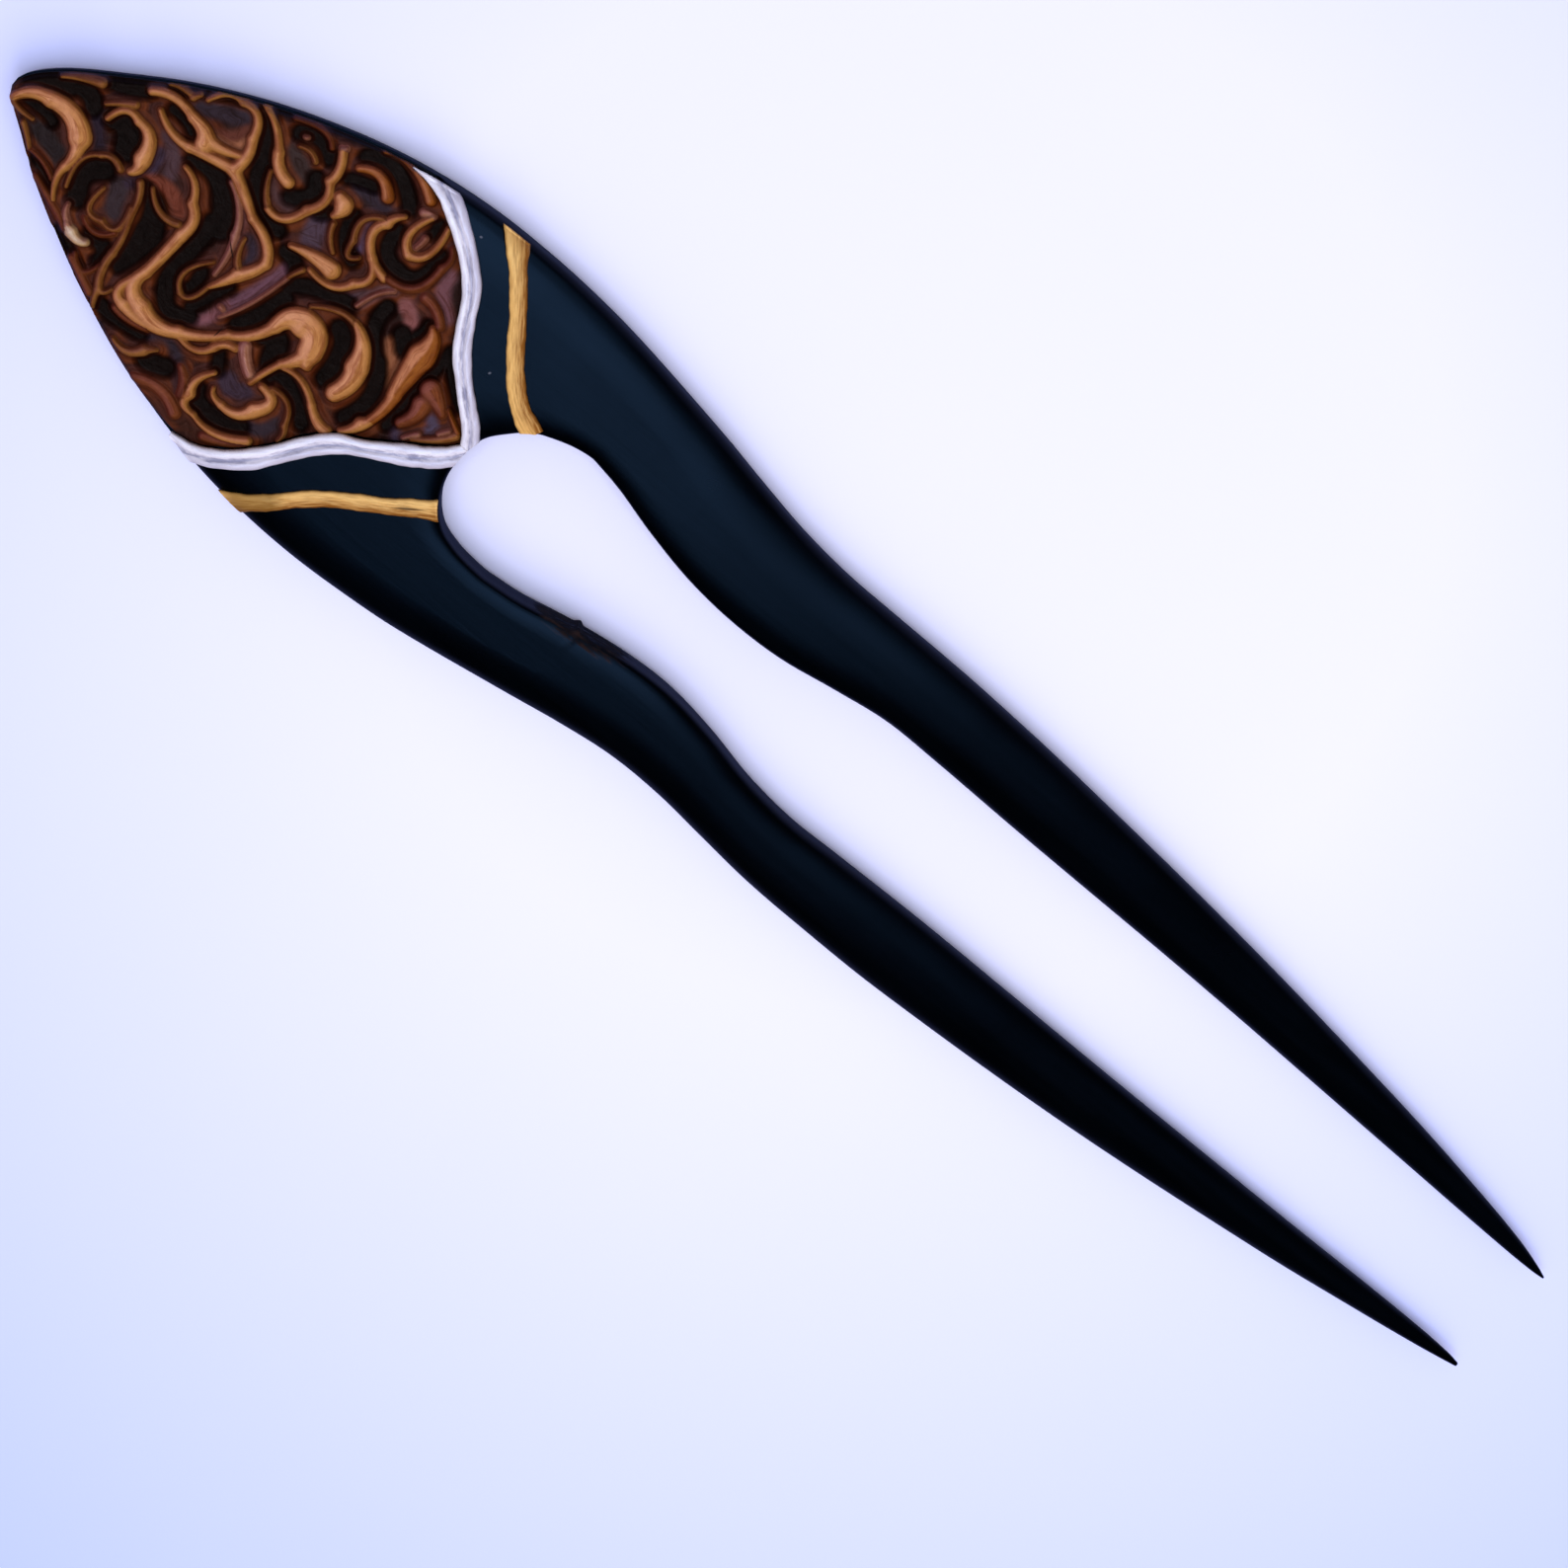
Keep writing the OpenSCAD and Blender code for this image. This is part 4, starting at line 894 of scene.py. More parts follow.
HOLLOWS = [
    # Left side
    (0.2, 1.6, 5, 5.4, 10, 8.7, 0.35, 0.3), (10, 8.7, 17, 12.4, 25, 15.1, 0.25, 0.1),
    (0.6, 1.3, 1.6, 2.4, 3.2, 3, 0.5, 0.7), (3, 3.2, 4.5, 3.6, 5.6, 3, 0.6, 0.6),
    (4.9, 5.6, 6.5, 6.2, 7.8, 7, 0.8, 0.8), (7.4, 3.4, 8.6, 3.4, 9.6, 2, 0.8, 0.8),
    (10.4, 6.9, 11.6, 6.9, 12.6, 6.5, 0.3, 0.3), (14, 4.9, 16.8, 4.8, 19, 2.2, 0.5, 0.9),
    (16.3, 11.6, 17.6, 9.4, 19, 6.6, 0.5, 0.7), (19, 6.6, 20.5, 5.2, 22.5, 4.9, 0.5, 0.5),
    (19, 12, 20.5, 12.6, 22, 12, 0.5, 0.5), (21.5, 7.6, 22.6, 8.6, 22.2, 10, 0.5, 0.5),
    (24, 13.9, 26.3, 14.7, 29.2, 13, 0.4, 0.5), (24, 11.6, 24.6, 12, 26, 12.5, 0.3, 0.3),
    (26.3, 9.6, 26.8, 8, 28.3, 6.9, 0.5, 0.5), (24.6, 8.6, 24.4, 8.3, 24, 8, 0.3, 0.3),
    # Middle
    (9.3, -0.3, 8.3, -1.7, 9, -3.4, 0.7, 0.7), (1.3, 0.1, 3, 0.2, 3.9, 0, 0.3, 0.3),
    (12.3, 0.7, 14, 0, 15, -2, 0.4, 1), (15, -2, 15, -4, 14.8, -5.5, 1, 0.4),
    (18.3, 2, 18.2, -1.5, 18.5, -4, 0.7, 0.7), (18.5, -4, 19.8, -5.6, 21.5, -5, 0.6, 0.5),
    (21.1, -4.3, 21.7, -2.8, 22.4, -1, 0.4, 0.35), (20, -1.6, 20.2, -2.8, 19.9, -3.4, 0.45, 0.4),
    (24, 4, 24.8, 3.9, 25.4, 3.5, 0.5, 0.5), (24.7, -3, 25.6, -1.2, 26.3, 1, 0.5, 0.6),
    (25.9, 2, 27.5, 3.2, 30.5, 4, 0.5, 0.5), (26.8, -2.2, 27.8, -1.9, 28.6, -3.5, 0.8, 0.8),
    # Right side
    (4.6, -3.2, 6, -3.5, 7, -4.2, 0.3, 0.3), (9.5, -6.3, 11, -7, 12.4, -7.6, 0.35, 0.3),
    (11.6, -5, 13, -5.2, 13.4, -6.2, 0.5, 0.5), (24.9, -5.4, 25.3, -6, 25.8, -6.8, 0.4, 0.4),
    (15.4, -8.8, 17, -8.9, 19.5, -8.6, 0.45, 0.35), (21, -9.8, 21.6, -9.8, 22.6, -9.4, 0.7, 0.6),
    (29.3, -4.6, 30.5, -4, 33.5, -5.8, 0.4, 0.5), (25.6, -9, 27, -10, 30, -9.3, 0.5, 0.6),
    # Back of the head
    (29.6, 11, 30, 9.2, 31.6, 8.6, 0.5, 0.5), (31.6, 8.6, 33.2, 9.2, 33.4, 11.6, 0.5, 0.5),
    (31, 2, 32.2, 0.8, 32.6, -1.8, 0.6, 0.6), (32.8, 5.8, 33.2, 3.6, 35, 1.8, 0.5, 0.5),
    (35, 1.8, 36.3, -0.5, 35.8, -3.2, 0.6, 0.5), (35.1, 4.9, 35.5, 4.6, 35.9, 4.2, 0.6, 0.6),
    (38.8, 6.2, 38.9, 3, 38.7, -1.5, 0.35, 0.35), (38.9, 6.4, 40, 5, 42.2, 3.2, 0.3, 0.2),
    (36.1, 6.9, 36.1, 6.2, 36, 5.6, 0.2, 0.3),
    (31.7, 13.5, 31.8, 13, 31.8, 12.6, 0.35, 0.3)]
# Webs and painted sheen: as above, and then the colour painted there, the clay's own colour for the brown
# ones and a painted sheen for the purple-grey ones
WEBS_AND_SHEEN = [
    # Left side
    (5.9, 3, 7, 1.8, 8.2, 0.6, 0.5, 0.4, "#241a20"), (12, 8.4, 13.6, 9.3, 15, 10, 0.55, 0.5, "#2c2225"),
    (14.4, 7.7, 15.3, 8.4, 15.8, 9.4, 0.4, 0.3, "#5c2f20"),
    (19.6, 10.6, 20.8, 10, 22.6, 9.6, 0.5, 0.5, "#33251f"),
    (19.6, 7.6, 20.6, 6.9, 22, 6.9, 0.35, 0.35, "#4a302a"),
    (24.3, 8, 24.8, 6.4, 25.2, 5.6, 0.7, 0.7, "#463539"),
    (24.6, 12, 26.3, 11.7, 27.6, 11.9, 0.5, 0.5, "#2c2226"),
    (27.8, 9.9, 28.1, 8.8, 28.2, 7.9, 0.2, 0.2, "#4f3c48"),
    (15.5, 12, 18.5, 13.1, 23, 14.4, 0.3, 0.35, "#4a2820"),
    # Middle
    (2.4, -1.1, 4.2, -1.3, 6, -1.7, 0.6, 0.6, "#221b19"),
    (10.9, -0.4, 11.4, -1.6, 11.9, -2.4, 0.7, 0.5, "#302524"),
    (11.8, 3.6, 12, 1.8, 11.4, 0.4, 0.45, 0.4, "#33262e"),
    (11.4, 5, 12.6, 4.2, 13.4, 2.9, 0.4, 0.4, "#45302f"),
    (12.4, 1.2, 14, 1.8, 15.8, 1, 0.5, 0.4, "#6a3320"),
    (25, 2.8, 24.1, -0.4, 23.1, -2.8, 0.5, 0.3, "#624044"),
    (21.2, 2.9, 22, 2.3, 22.3, 1.2, 0.35, 0.25, "#2e2429"),
    # Right side
    (27, -7, 27.6, -7.2, 28.6, -6.7, 0.7, 0.5, "#35272d"),
    (20, -8.4, 22, -7.6, 24.8, -10.2, 0.25, 0.3, "#2a2124"),
    (29.8, -8.7, 31.2, -8.5, 32, -7.2, 0.5, 0.4, "#2c2224"),
    (25.6, -11.8, 27, -11.9, 28.2, -11.9, 0.5, 0.35, "#3a1d12"),
    (29.2, -4.5, 30.5, -4, 32.6, -5, 0.3, 0.3, "#2a2226"),
    # Back of the head
    (34.9, 10.9, 35.4, 9.6, 36.9, 8.2, 0.5, 0.4, "#6a4240"),
    (41.2, 1.2, 41.6, 0.8, 41.6, 0.4, 0.35, 0.3, "#473c46"),
    (38.9, -1, 39.8, -1.6, 40.2, -2.2, 0.35, 0.3, "#3f3038"),
    (30.8, 5.4, 30, 4.4, 29, 3.2, 0.35, 0.3, "#4a3636"),
    (32.3, 7.2, 31.5, 6, 30.9, 4.3, 0.25, 0.15, "#946a60"),
    (33.9, 6.9, 34.5, 6.6, 35.2, 5.9, 0.5, 0.4, "#7c4a40"),
    (34.8, 3.9, 35.8, 2.8, 36.9, 1.4, 0.3, 0.5, "#84502f"),
    # Beside the widest ribbons
    (21.4, -5.5, 22.6, -4.2, 23.2, -2.6, 0.15, 0.35, "#7a4c4a"),
    (16.9, 5.7, 19.2, 4.3, 20.6, 2, 0.3, 0.35, "#7a4c44"),
    (13.8, 7.2, 15.5, 7.4, 16.4, 8.6, 0.4, 0.25, "#a0643e")]
# Clays: strokes, height as a share of the relief, colour of the top where painted in cool light (mauve),
# colour of the top where painted in warm light (golden), and colour of the edge in the painted warm light
# (golden)
CLAYS = {
    "russet": (RUSSET, 0.62, "#804634", "#763c18", "#5a2c10"),
    "pink": (PINK, 0.75, "#b07c6a", "#b27e58", "#7d4e34"),
    "bronze": (BRONZE, 0.85, "#8e5a3e", "#98602c", "#7c4e1e"),
    "ochre": (OCHRE, 1.0, "#b8774a", "#8f5018", "#7a4010"),
    "copper": (COPPER, 1.0, "#cc8c5c", "#b97c3e", "#986428"),
    "cream": (CREAM, 0.92, "#d2b594", "#dac79c", "#b08a52")}
print("strokes:", {name: len(clay[0]) for name, clay in CLAYS.items()})
print("hollows:", len(HOLLOWS), "webs:", len(WEBS_AND_SHEEN))

# %% [markdown]
# Height and colour come from one measure: how far a place lies beyond the edge of a stroke. It is
# negative on the stroke. Strokes that meet should flow together as soft clay does, so the
# distances to them are melted and not just compared, and every ribbon spreads a little past its
# chart. The direction in which the distance grows tells which way an edge faces.

# %% Distance from the strokes
STROKE_STEPS = 18
# How far a stroke is felt, and the difference of distances over which two strokes melt
REACH = 1.8
MELT = 0.2
SMALLEST_AREA = 1e-9


def beyond(p, stroke):
    """Distance from every place to the edge of a stroke: the distance to the nearest piece of its
    route, less the half width there. The route is the parabola that is at the start, the bend and
    the end when t is 0, a half and 1. Places out of reach are left at the reach."""
    x0, y0, xb, yb, x1, y1, w0, w1 = stroke[:8]
    t = np.linspace(0, 1, STROKE_STEPS + 1)[:, None]
    start, bend, end = (np.array(row) for row in ((x0, y0, w0), (xb, yb, (w0 + w1) / 2), (x1, y1, w1)))
    route = (1 - t) * (1 - 2 * t) * start + 4 * t * (1 - t) * bend + t * (2 * t - 1) * end
    low, high = route[:, :2].min(axis=0) - REACH, route[:, :2].max(axis=0) + REACH
    near = np.all((p > low) & (p < high), axis=-1)
    q = p[near][:, None]
    a, d = route[:-1], np.diff(route, axis=0)
    t = np.clip(np.sum((q - a[:, :2]) * d[:, :2], axis=-1) / np.sum(d[:, :2] ** 2, axis=-1), 0, 1)
    away = np.linalg.norm(q - a[:, :2] - t[..., None] * d[:, :2], axis=-1) - a[:, 2] - t * d[:, 2]
    out = np.full(p.shape[:-1], REACH)
    out[near] = np.minimum(away.min(axis=1), REACH)
    return out


def melted(p, strokes):
    """Distance beyond the nearest of several strokes, lowered where two are nearly as near, so
    that strokes that meet flow together: the smaller distance less MELT h (1 - h), where h goes
    from 0 to 1 as their difference crosses the melting width."""
    away = np.full(p.shape[:-1], REACH)
    for stroke in strokes:
        one = beyond(p, stroke)
        h = np.clip(0.5 + 0.5 * (one - away) / MELT, 0, 1)
        away = one + (away - one) * h - MELT * h * (1 - h)
    return np.minimum(away, REACH)


def slope_toward(p, value, direction):
    """Slope of a value over the chart in one direction, from its steps along the grid's two lines
    and the steps of the places themselves."""
    (pv, pu), (nv, nu) = (np.gradient(a, axis=(0, 1)) for a in (p, value))
    area = pu[..., 0] * pv[..., 1] - pu[..., 1] * pv[..., 0]
    area = np.where(np.abs(area) < SMALLEST_AREA, SMALLEST_AREA, area)
    slope_x = (nu * pv[..., 1] - nv * pu[..., 1]) / area
    slope_y = (nv * pu[..., 0] - nu * pv[..., 0]) / area
    return np.clip(slope_x * direction[0] + slope_y * direction[1], -1, 1)


LINE = (-1, 0, 0, 0, 1, 0, 0.2, 0.2)
beside = beyond(np.array([[0.0, 1.0]]), LINE)[0]
print("a place 1 mm from the middle of a stroke 0.4 mm wide is", round(float(beside), 3), "mm beyond it")

# %% [markdown]
# On a ribbon the clay stands at its full height, beside it the satin slope goes down to less than half, and
# in a hollow it is at its lowest. Colour is painted by which way an edge faces, as painted light: edges
# that face +x are golden, as in warm light, and the others are mauve, as in cool light. A dark outline
# parts each ribbon from its slope, most on the warm-lit golden side, and on the cool-lit mauve side a
# darker share of the ribbon's colour runs a little way down the slope as painted soft shade. The distance
# is kept on the points too, for lines finer than the grid.

# %% Relief and colours of the swirl
# Ribbons: widening, and where their edges start to fall and how wide the fall is
RIBBON_SPREAD = 0.07
SLOPE_START = 0.15
SLOPE = 0.45
# Satin slopes: height share, and the width over which they darken
SATIN_HEIGHT = 0.45
SATIN_WIDTH = 1.3
# Hollows: widening, and the width of their banks
HOLLOW_EDGE = 0.02
HOLLOW_FADE = 0.55
# Webs: fade at their edges, and how far in it starts, as a share of the fade
WEB_FADE = 0.7
WEB_START = 0.3
# Painted warm light: the direction that the warm-lit edges face, and how fast the colour turns from
# cool-lit to warm-lit with the slope
WARM_LIGHT_SIDE = (1.0, 0.0)
WARM_LIGHT_TURN = 0.6
# Satin slope painted in warm light and in cool light, then the far satin, hollow and outline colours
SATIN_WARM_LIT, SATIN_COOL_LIT, SATIN_FAR, HOLLOW, OUTLINE = (
    srgb(c) for c in ("#6e3312", "#46231b", "#26130e", "#0e0604", "#301006"))
# Outline and painted soft shade at the cool-lit foot: width on the slope and share of their colour there
OUTLINE_WIDTH = 0.5
OUTLINE_SHARE = 0.9
COOL_SHADE_WIDTH = 0.4
COOL_SHADE_SHARE = 0.4
# What a ribbon's own colour is multiplied by at its cool-lit edge and in the painted shade at its cool-lit
# foot
COOL_LIT_EDGE, COOL_SHADE_FOOT = srgb("#b49290"), srgb("#8c645e")


def toward(colour, other, share):
    """A share of the way from one colour to another, at every place."""
    return colour + (other - colour) * share[..., None]


def swirl(p):
    """At every place: the height share from 0 in a hollow to 1 on a ribbon, the distance beyond the
    nearest ribbon, and the colours of the ground, of the ribbon's top and of its edge."""
    away = {name: melted(p, clay[0]) - RIBBON_SPREAD for name, clay in CLAYS.items()}
    nearest = np.min(list(away.values()), axis=0)
    # Painted light: 0 where an edge faces away from +x, cool-lit and mauve, and 1 where it faces +x,
    # warm-lit and golden
    warm_lit = ease(0.5 + WARM_LIGHT_TURN * slope_toward(p, nearest, WARM_LIGHT_SIDE))
    ground = toward(toward(SATIN_COOL_LIT, SATIN_WARM_LIT, warm_lit), SATIN_FAR, ease(nearest / SATIN_WIDTH))
    # Webs tint the ground: the brown ones with the clay's colour, and the purple-grey ones with a painted
    # sheen
    for web in WEBS_AND_SHEEN:
        ground = toward(ground, srgb(web[-1]), 1 - ease(beyond(p, web) / WEB_FADE + WEB_START))
    deep = 1 - ease((melted(p, HOLLOWS) + HOLLOW_EDGE) / HOLLOW_FADE)
    ground = toward(ground, HOLLOW, deep)
    height = SATIN_HEIGHT * (1 - deep)
    top, edge, closest = np.zeros_like(ground), np.zeros_like(ground), REACH + 1
    for name, (_, level, cool_lit_top, warm_lit_top, warm_lit_edge) in CLAYS.items():
        height = np.maximum(height, level * (1 - ease((away[name] + SLOPE_START) / SLOPE)))
        closer = (away[name] < closest)[..., None]
        top = np.where(closer, toward(srgb(cool_lit_top), srgb(warm_lit_top), warm_lit), top)
        edge = np.where(closer, srgb(warm_lit_edge), edge)
        closest = np.minimum(closest, away[name])
    # Painted light on the ribbon's edge, and painted soft shade at its cool-lit foot
    edge = toward(top * COOL_LIT_EDGE, edge, warm_lit)
    painted_foot_shade = (1 - warm_lit) * (1 - ease(nearest / COOL_SHADE_WIDTH))
    ground = toward(ground, top * COOL_SHADE_FOOT, COOL_SHADE_SHARE * painted_foot_shade)
    outline = (1 + warm_lit) / 2 * (1 - ease(nearest / OUTLINE_WIDTH))
    ground = toward(ground, OUTLINE, OUTLINE_SHARE * outline)
    return height, nearest, {"ground": ground, "top": top, "edge": edge}


height, away, colours = swirl(grid)
print("share of the panel at full height:", round(float(np.mean(height > 0.95)), 3))

# %% [markdown]
# The clay has a soft shine like a rubbed resin. From the middle of a ribbon outwards it goes
# from copper over a thin golden edge to the satin slope. Fine marbled lines follow the ribbons:
# a noise that changes fast with the distance from the edge and slowly along it. Two hairline
# cracks cross the widest ribbons.

# %% Finish of the clay
LINE_STRETCH = 0.4
LINE_CROWDING = 4.0
# What the clay's colour is multiplied by on a streak, on a blotch and on a glint, which is a painted
# highlight
STREAK, BLOTCH, PAINTED_GLINT = (0.5, 0.34, 0.26), (0.6, 0.48, 0.44), (1.35, 1.2, 1.05)
CRACK = (0.012, 0.006, 0.004)
COPPER_SHINE = (1.0, 0.45, 0.22, 1)
# Cracks: centre on the chart, half widths, turn
CRACKS = [((20.7, 1.4, 5.1), (0.95, 0.08), -45), ((24, -4.3, 5.1), (0.6, 0.07), 80)]


def marbled_lines(finish, away):
    """Noise over x and y times the stretch, and over the distance beyond the ribbon's edge times
    the crowding, so that its lines run along the ribbons."""
    split = finish.add("ShaderNodeSeparateXYZ")
    finish.feed(split.inputs["Vector"], finish.waves(LINE_STRETCH, LINE_STRETCH, LINE_STRETCH))
    joined = finish.add("ShaderNodeCombineXYZ")
    finish.feed(joined.inputs["X"], split.outputs["X"])
    finish.feed(joined.inputs["Y"], split.outputs["Y"])
    finish.feed(joined.inputs["Z"], finish.math("MULTIPLY", away, LINE_CROWDING))
    return finish.noise(1.0, 3, 0.6, joined.outputs["Vector"])


def swirled_clay():
    """Clay: colours by distance from the ribbon's edge, marbled lines, pits, cracks and a soft shine."""
    finish = Finish("swirled_clay", 0.0, 0.3)
    ground, top, edge = (finish.add("ShaderNodeVertexColor", layer_name=name).outputs["Color"]
                         for name in ("ground", "top", "edge"))
    away = finish.add("ShaderNodeAttribute", attribute_name="away").outputs["Fac"]
    mottle = finish.noise(1.3, 4, 0.6, distortion=0.5)
    fine = finish.noise(7.0, 4, 0.6)
    lines = marbled_lines(finish, away)
    # From the slope over the thin edge to the ribbon's top, along a ragged border
    colour = finish.mix(finish.spread(away, 0.1, 0.0), ground, edge)
    inner = finish.math("ADD", away, finish.spread(lines, 0.35, 0.65, -0.06, 0.06))
    colour = finish.mix(finish.spread(inner, -0.08, -0.46), colour, top)
    # Dark streaks and blotches, and pale glints, which are painted highlights
    streak = finish.mix(finish.spread(lines, 0.52, 0.36, 0.0, 0.75), (1, 1, 1), STREAK)
    colour = finish.mix(1.0, colour, streak, "MULTIPLY")
    colour = finish.mix(finish.spread(mottle, 0.45, 0.7, 0.0, 0.4), colour, BLOTCH, "MULTIPLY")
    colour = finish.mix(finish.spread(fine, 0.5, 0.75, 0.0, 0.5), colour, PAINTED_GLINT, "MULTIPLY")
    crack = finish.math("MAXIMUM", *(finish.within(*crack) for crack in CRACKS))
    colour = finish.mix(finish.spread(crack, 0.1, 0.4, 0.0, 0.85), colour, CRACK)
    finish.shader.inputs["Specular Tint"].default_value = COPPER_SHINE
    bumps = finish.bump(mottle, 0.14, 0.5)
    bumps = finish.bump(lines, 0.08, 0.5, bumps)
    bumps = finish.bump(fine, 0.03, 0.5, bumps)
    return finish.done(colour, finish.spread(mottle, 0.3, 0.7, 0.32, 0.5), bumps)


clay = swirled_clay()

# %% [markdown]
# Now the grid gets its height. Near the rim the clay is rounded down a little, and a wall joins
# the rim to a flat base that lies on the seat, so the panel is one closed solid.

# %% The panel
# Gap between the wood and what lies on it
FIT_GAP = 0.05
PANEL_THICKNESS = 2.1
RELIEF_DEPTH = 1.1
# Rounding of the rim: its depth at the front edges and by the cords, and its width
RIM_DROP = 0.4
RIM_DROP_BY_CORD = 0.08
RIM_WIDTH = 0.5
# The grid runs clockwise seen from above, so its quads are listed the other way round
OUTWARDS = [0, 3, 2, 1]


def rim_drop(p):
    """How far the top is rounded down: by the front edges and, much less, by the cords, falling
    off with the distance from each edge along the grid's own lines."""
    edges = [(p[:1], RIM_DROP), (p[:, :1], RIM_DROP)]
    edges += [(p[-1:], RIM_DROP_BY_CORD), (p[:, -1:], RIM_DROP_BY_CORD)]
    drops = [drop * (1 - ease(np.linalg.norm(p - edge, axis=-1) / RIM_WIDTH)) for edge, drop in edges]
    return np.max(drops, axis=0)


def swirl_panel(p, height, away, colours, material):
    """Top at base + thickness - relief * (1 - height share) - rim drop, with walls down to a flat
    base. The rim's values are carried down the walls."""
    n = len(p) - 1
    base = SEAT_HEIGHT + FIT_GAP
    z = base + PANEL_THICKNESS - RELIEF_DEPTH * (1 - height) - rim_drop(p)
    top = place(p[..., 0], p[..., 1], z).reshape(-1, 3)
    index = np.arange((n + 1) ** 2).reshape(n + 1, n + 1)
    border = np.concatenate([index[0, :-1], index[:-1, -1], index[-1, :0:-1], index[:0:-1, 0]])
    rim = top[border]
    low = np.stack([rim[:, 0], rim[:, 1], np.full(len(rim), base * MM)], axis=-1)
    k = np.arange(len(border))
    after = np.roll(border, -1)
    walls = np.stack([border, len(top) + k, len(top) + np.roll(k, -1), after], axis=-1)
    quads = np.concatenate([grid_faces(n + 1, n + 1), walls])[:, OUTWARDS]
    under = len(top) + np.roll(k, 1)
    piece = make_piece("clay_panel", np.concatenate([top, low]), quads, [under], material)
    for name, colour in colours.items():
        rows = colour.reshape(-1, 3)
        paint(piece, name, np.concatenate([rows, rows[border]]))
    layer = piece.data.attributes.new("away", "FLOAT", "POINT")
    layer.data.foreach_set("value", np.concatenate([away.ravel(), away.ravel()[border]]).astype(np.float32))
    return piece


panel = swirl_panel(grid, height, away, colours, clay)
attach(panel, "root")
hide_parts("swirl_panel")

# %% [markdown]
# Cords and bands are one shape with two sections. Lines run along the strip, each at its own
# place across it, and lie on the wood. Every line starts and ends where it comes onto the head,
# so the ends are flush with the wood's edges, and a cord's lines end at the mitre too. There is
# no formula for those places, but halving between a place that is off and one that is on comes
# as near as one likes.

# %% Ends of the lines
# A line's end lies in this share of the route
END_SEARCH = 0.25
END_HALVINGS = 16


def is_kept(p, keep):
    """Inside the wood's outer edges and clear of the notch, by at least the inset, and to the left
    of the mitre where keep is 1 or to its right where keep is -1. A band has no mitre: keep is 0."""
    a = angle_about_notch(p)
    side = np.where(a <= 180, 1, -1)
    clear = side * (outer_y(p[..., 0], side) - p[..., 1]) > EDGE_INSET
    rim = read(NOTCH, np.clip(a, *NOTCH_ANGLES), 1)
    clear &= np.linalg.norm(p - NOTCH_CENTRE, axis=-1) > rim + EDGE_INSET
    return clear & (keep * (p[..., 1] - MITRE_Y) >= abs(keep) * MITRE_GAP / 2)


def strip_place(nodes, s, e):
    """Chart place at s along a route and at e, from -1 to 1, across it."""
    p = along(nodes, s)
    return p[..., :2] + (e * p[..., 2])[..., None] * left_of(nodes, s)


def line_end(nodes, e, off, on, keep):
    """First s of each line that is kept, found by halving between off and on."""
    off, on = np.full(e.shape, off), np.full(e.shape, on)
    for _ in range(END_HALVINGS):
        s = (off + on) / 2
        here = is_kept(strip_place(nodes, s, e), keep)
        off, on = np.where(here, off, s), np.where(here, s, on)
    return on


centre_line = np.array([0.0])
first = line_end(SILVER_LEFT, centre_line, 0.0, END_SEARCH, 1)
print("the left cord comes onto the wood at", strip_place(SILVER_LEFT, first, centre_line)[0].round(2))

# %% [markdown]
# A cord has two round ridges with a groove between them, and a band is slightly crowned. Both
# were rolled by hand, so their width and height wander a little. Each point keeps where it lies
# along the strip and across it, so that a finish can follow the strip.

# %% Strips laid over the wood
STRIP_STEPS = 260
STRIP_LINES = 33
# Unevenness, as a share of the width and of the height
WIDTH_WANDER = 0.05
HEIGHT_WANDER = 0.04
CORD_HEIGHT = 0.9
GROOVE_DEPTH = 0.3
GROOVE_WIDTH = 0.24
BAND_HEIGHT = 0.5
# Past these q the wood falls away too steeply, and a strip keeps its height there
NEAR_INNER = -0.97
NEAR_OUTER = 0.96


def cord_section(e):
    """Two ridges and a groove: height (0.4 + 0.6 (1 - e^4)^0.5), less depth exp(-(e / width)^2)."""
    ridges = CORD_HEIGHT * (0.4 + 0.6 * np.sqrt(1 - e ** 4))
    return ridges - GROOVE_DEPTH * np.exp(-(e / GROOVE_WIDTH) ** 2)


def band_section(e):
    """A low crown: height (0.35 + 0.65 (1 - |e|^3)^0.5)."""
    return BAND_HEIGHT * (0.35 + 0.65 * np.sqrt(1 - np.abs(e) ** 3))


def wander(s, seed):
    """Slow unevenness of hand work, between about -1 and 1: three sines with seeded phases."""
    phase = np.random.default_rng(seed).uniform(0, 2 * math.pi, 3)
    waves = (5, 9, 17)
    return sum(np.sin(2 * math.pi * w * s + f) / (i + 1.5) for i, (w, f) in enumerate(zip(waves, phase)))


def strip_lines(nodes, section, seed, keep):
    """The strip's s and e at every point, and two grids of points: over it, at the wood's height
    plus section(e), and under it, on the wood."""
    e = np.cos(np.linspace(math.pi, 0, STRIP_LINES))
    start, end = line_end(nodes, e, 0.0, END_SEARCH, keep), line_end(nodes, e, 1.0, 1 - END_SEARCH, keep)
    s = start + (end - start) * np.linspace(0, 1, STRIP_STEPS + 1)[:, None]
    p = strip_place(nodes, s, e[None, :] * (1 + WIDTH_WANDER * wander(s, seed)))
    x, q = station_of(p)
    on_wood = top_at(x, np.clip(q, NEAR_INNER, NEAR_OUTER)) + FIT_GAP
    uneven = 1 - HEIGHT_WANDER + HEIGHT_WANDER * wander(s + 0.1 * e[None, :], seed + 1)
    over = place(p[..., 0], p[..., 1], on_wood + section(e[None, :]) * uneven)
    return s, e, over, place(p[..., 0], p[..., 1], on_wood)


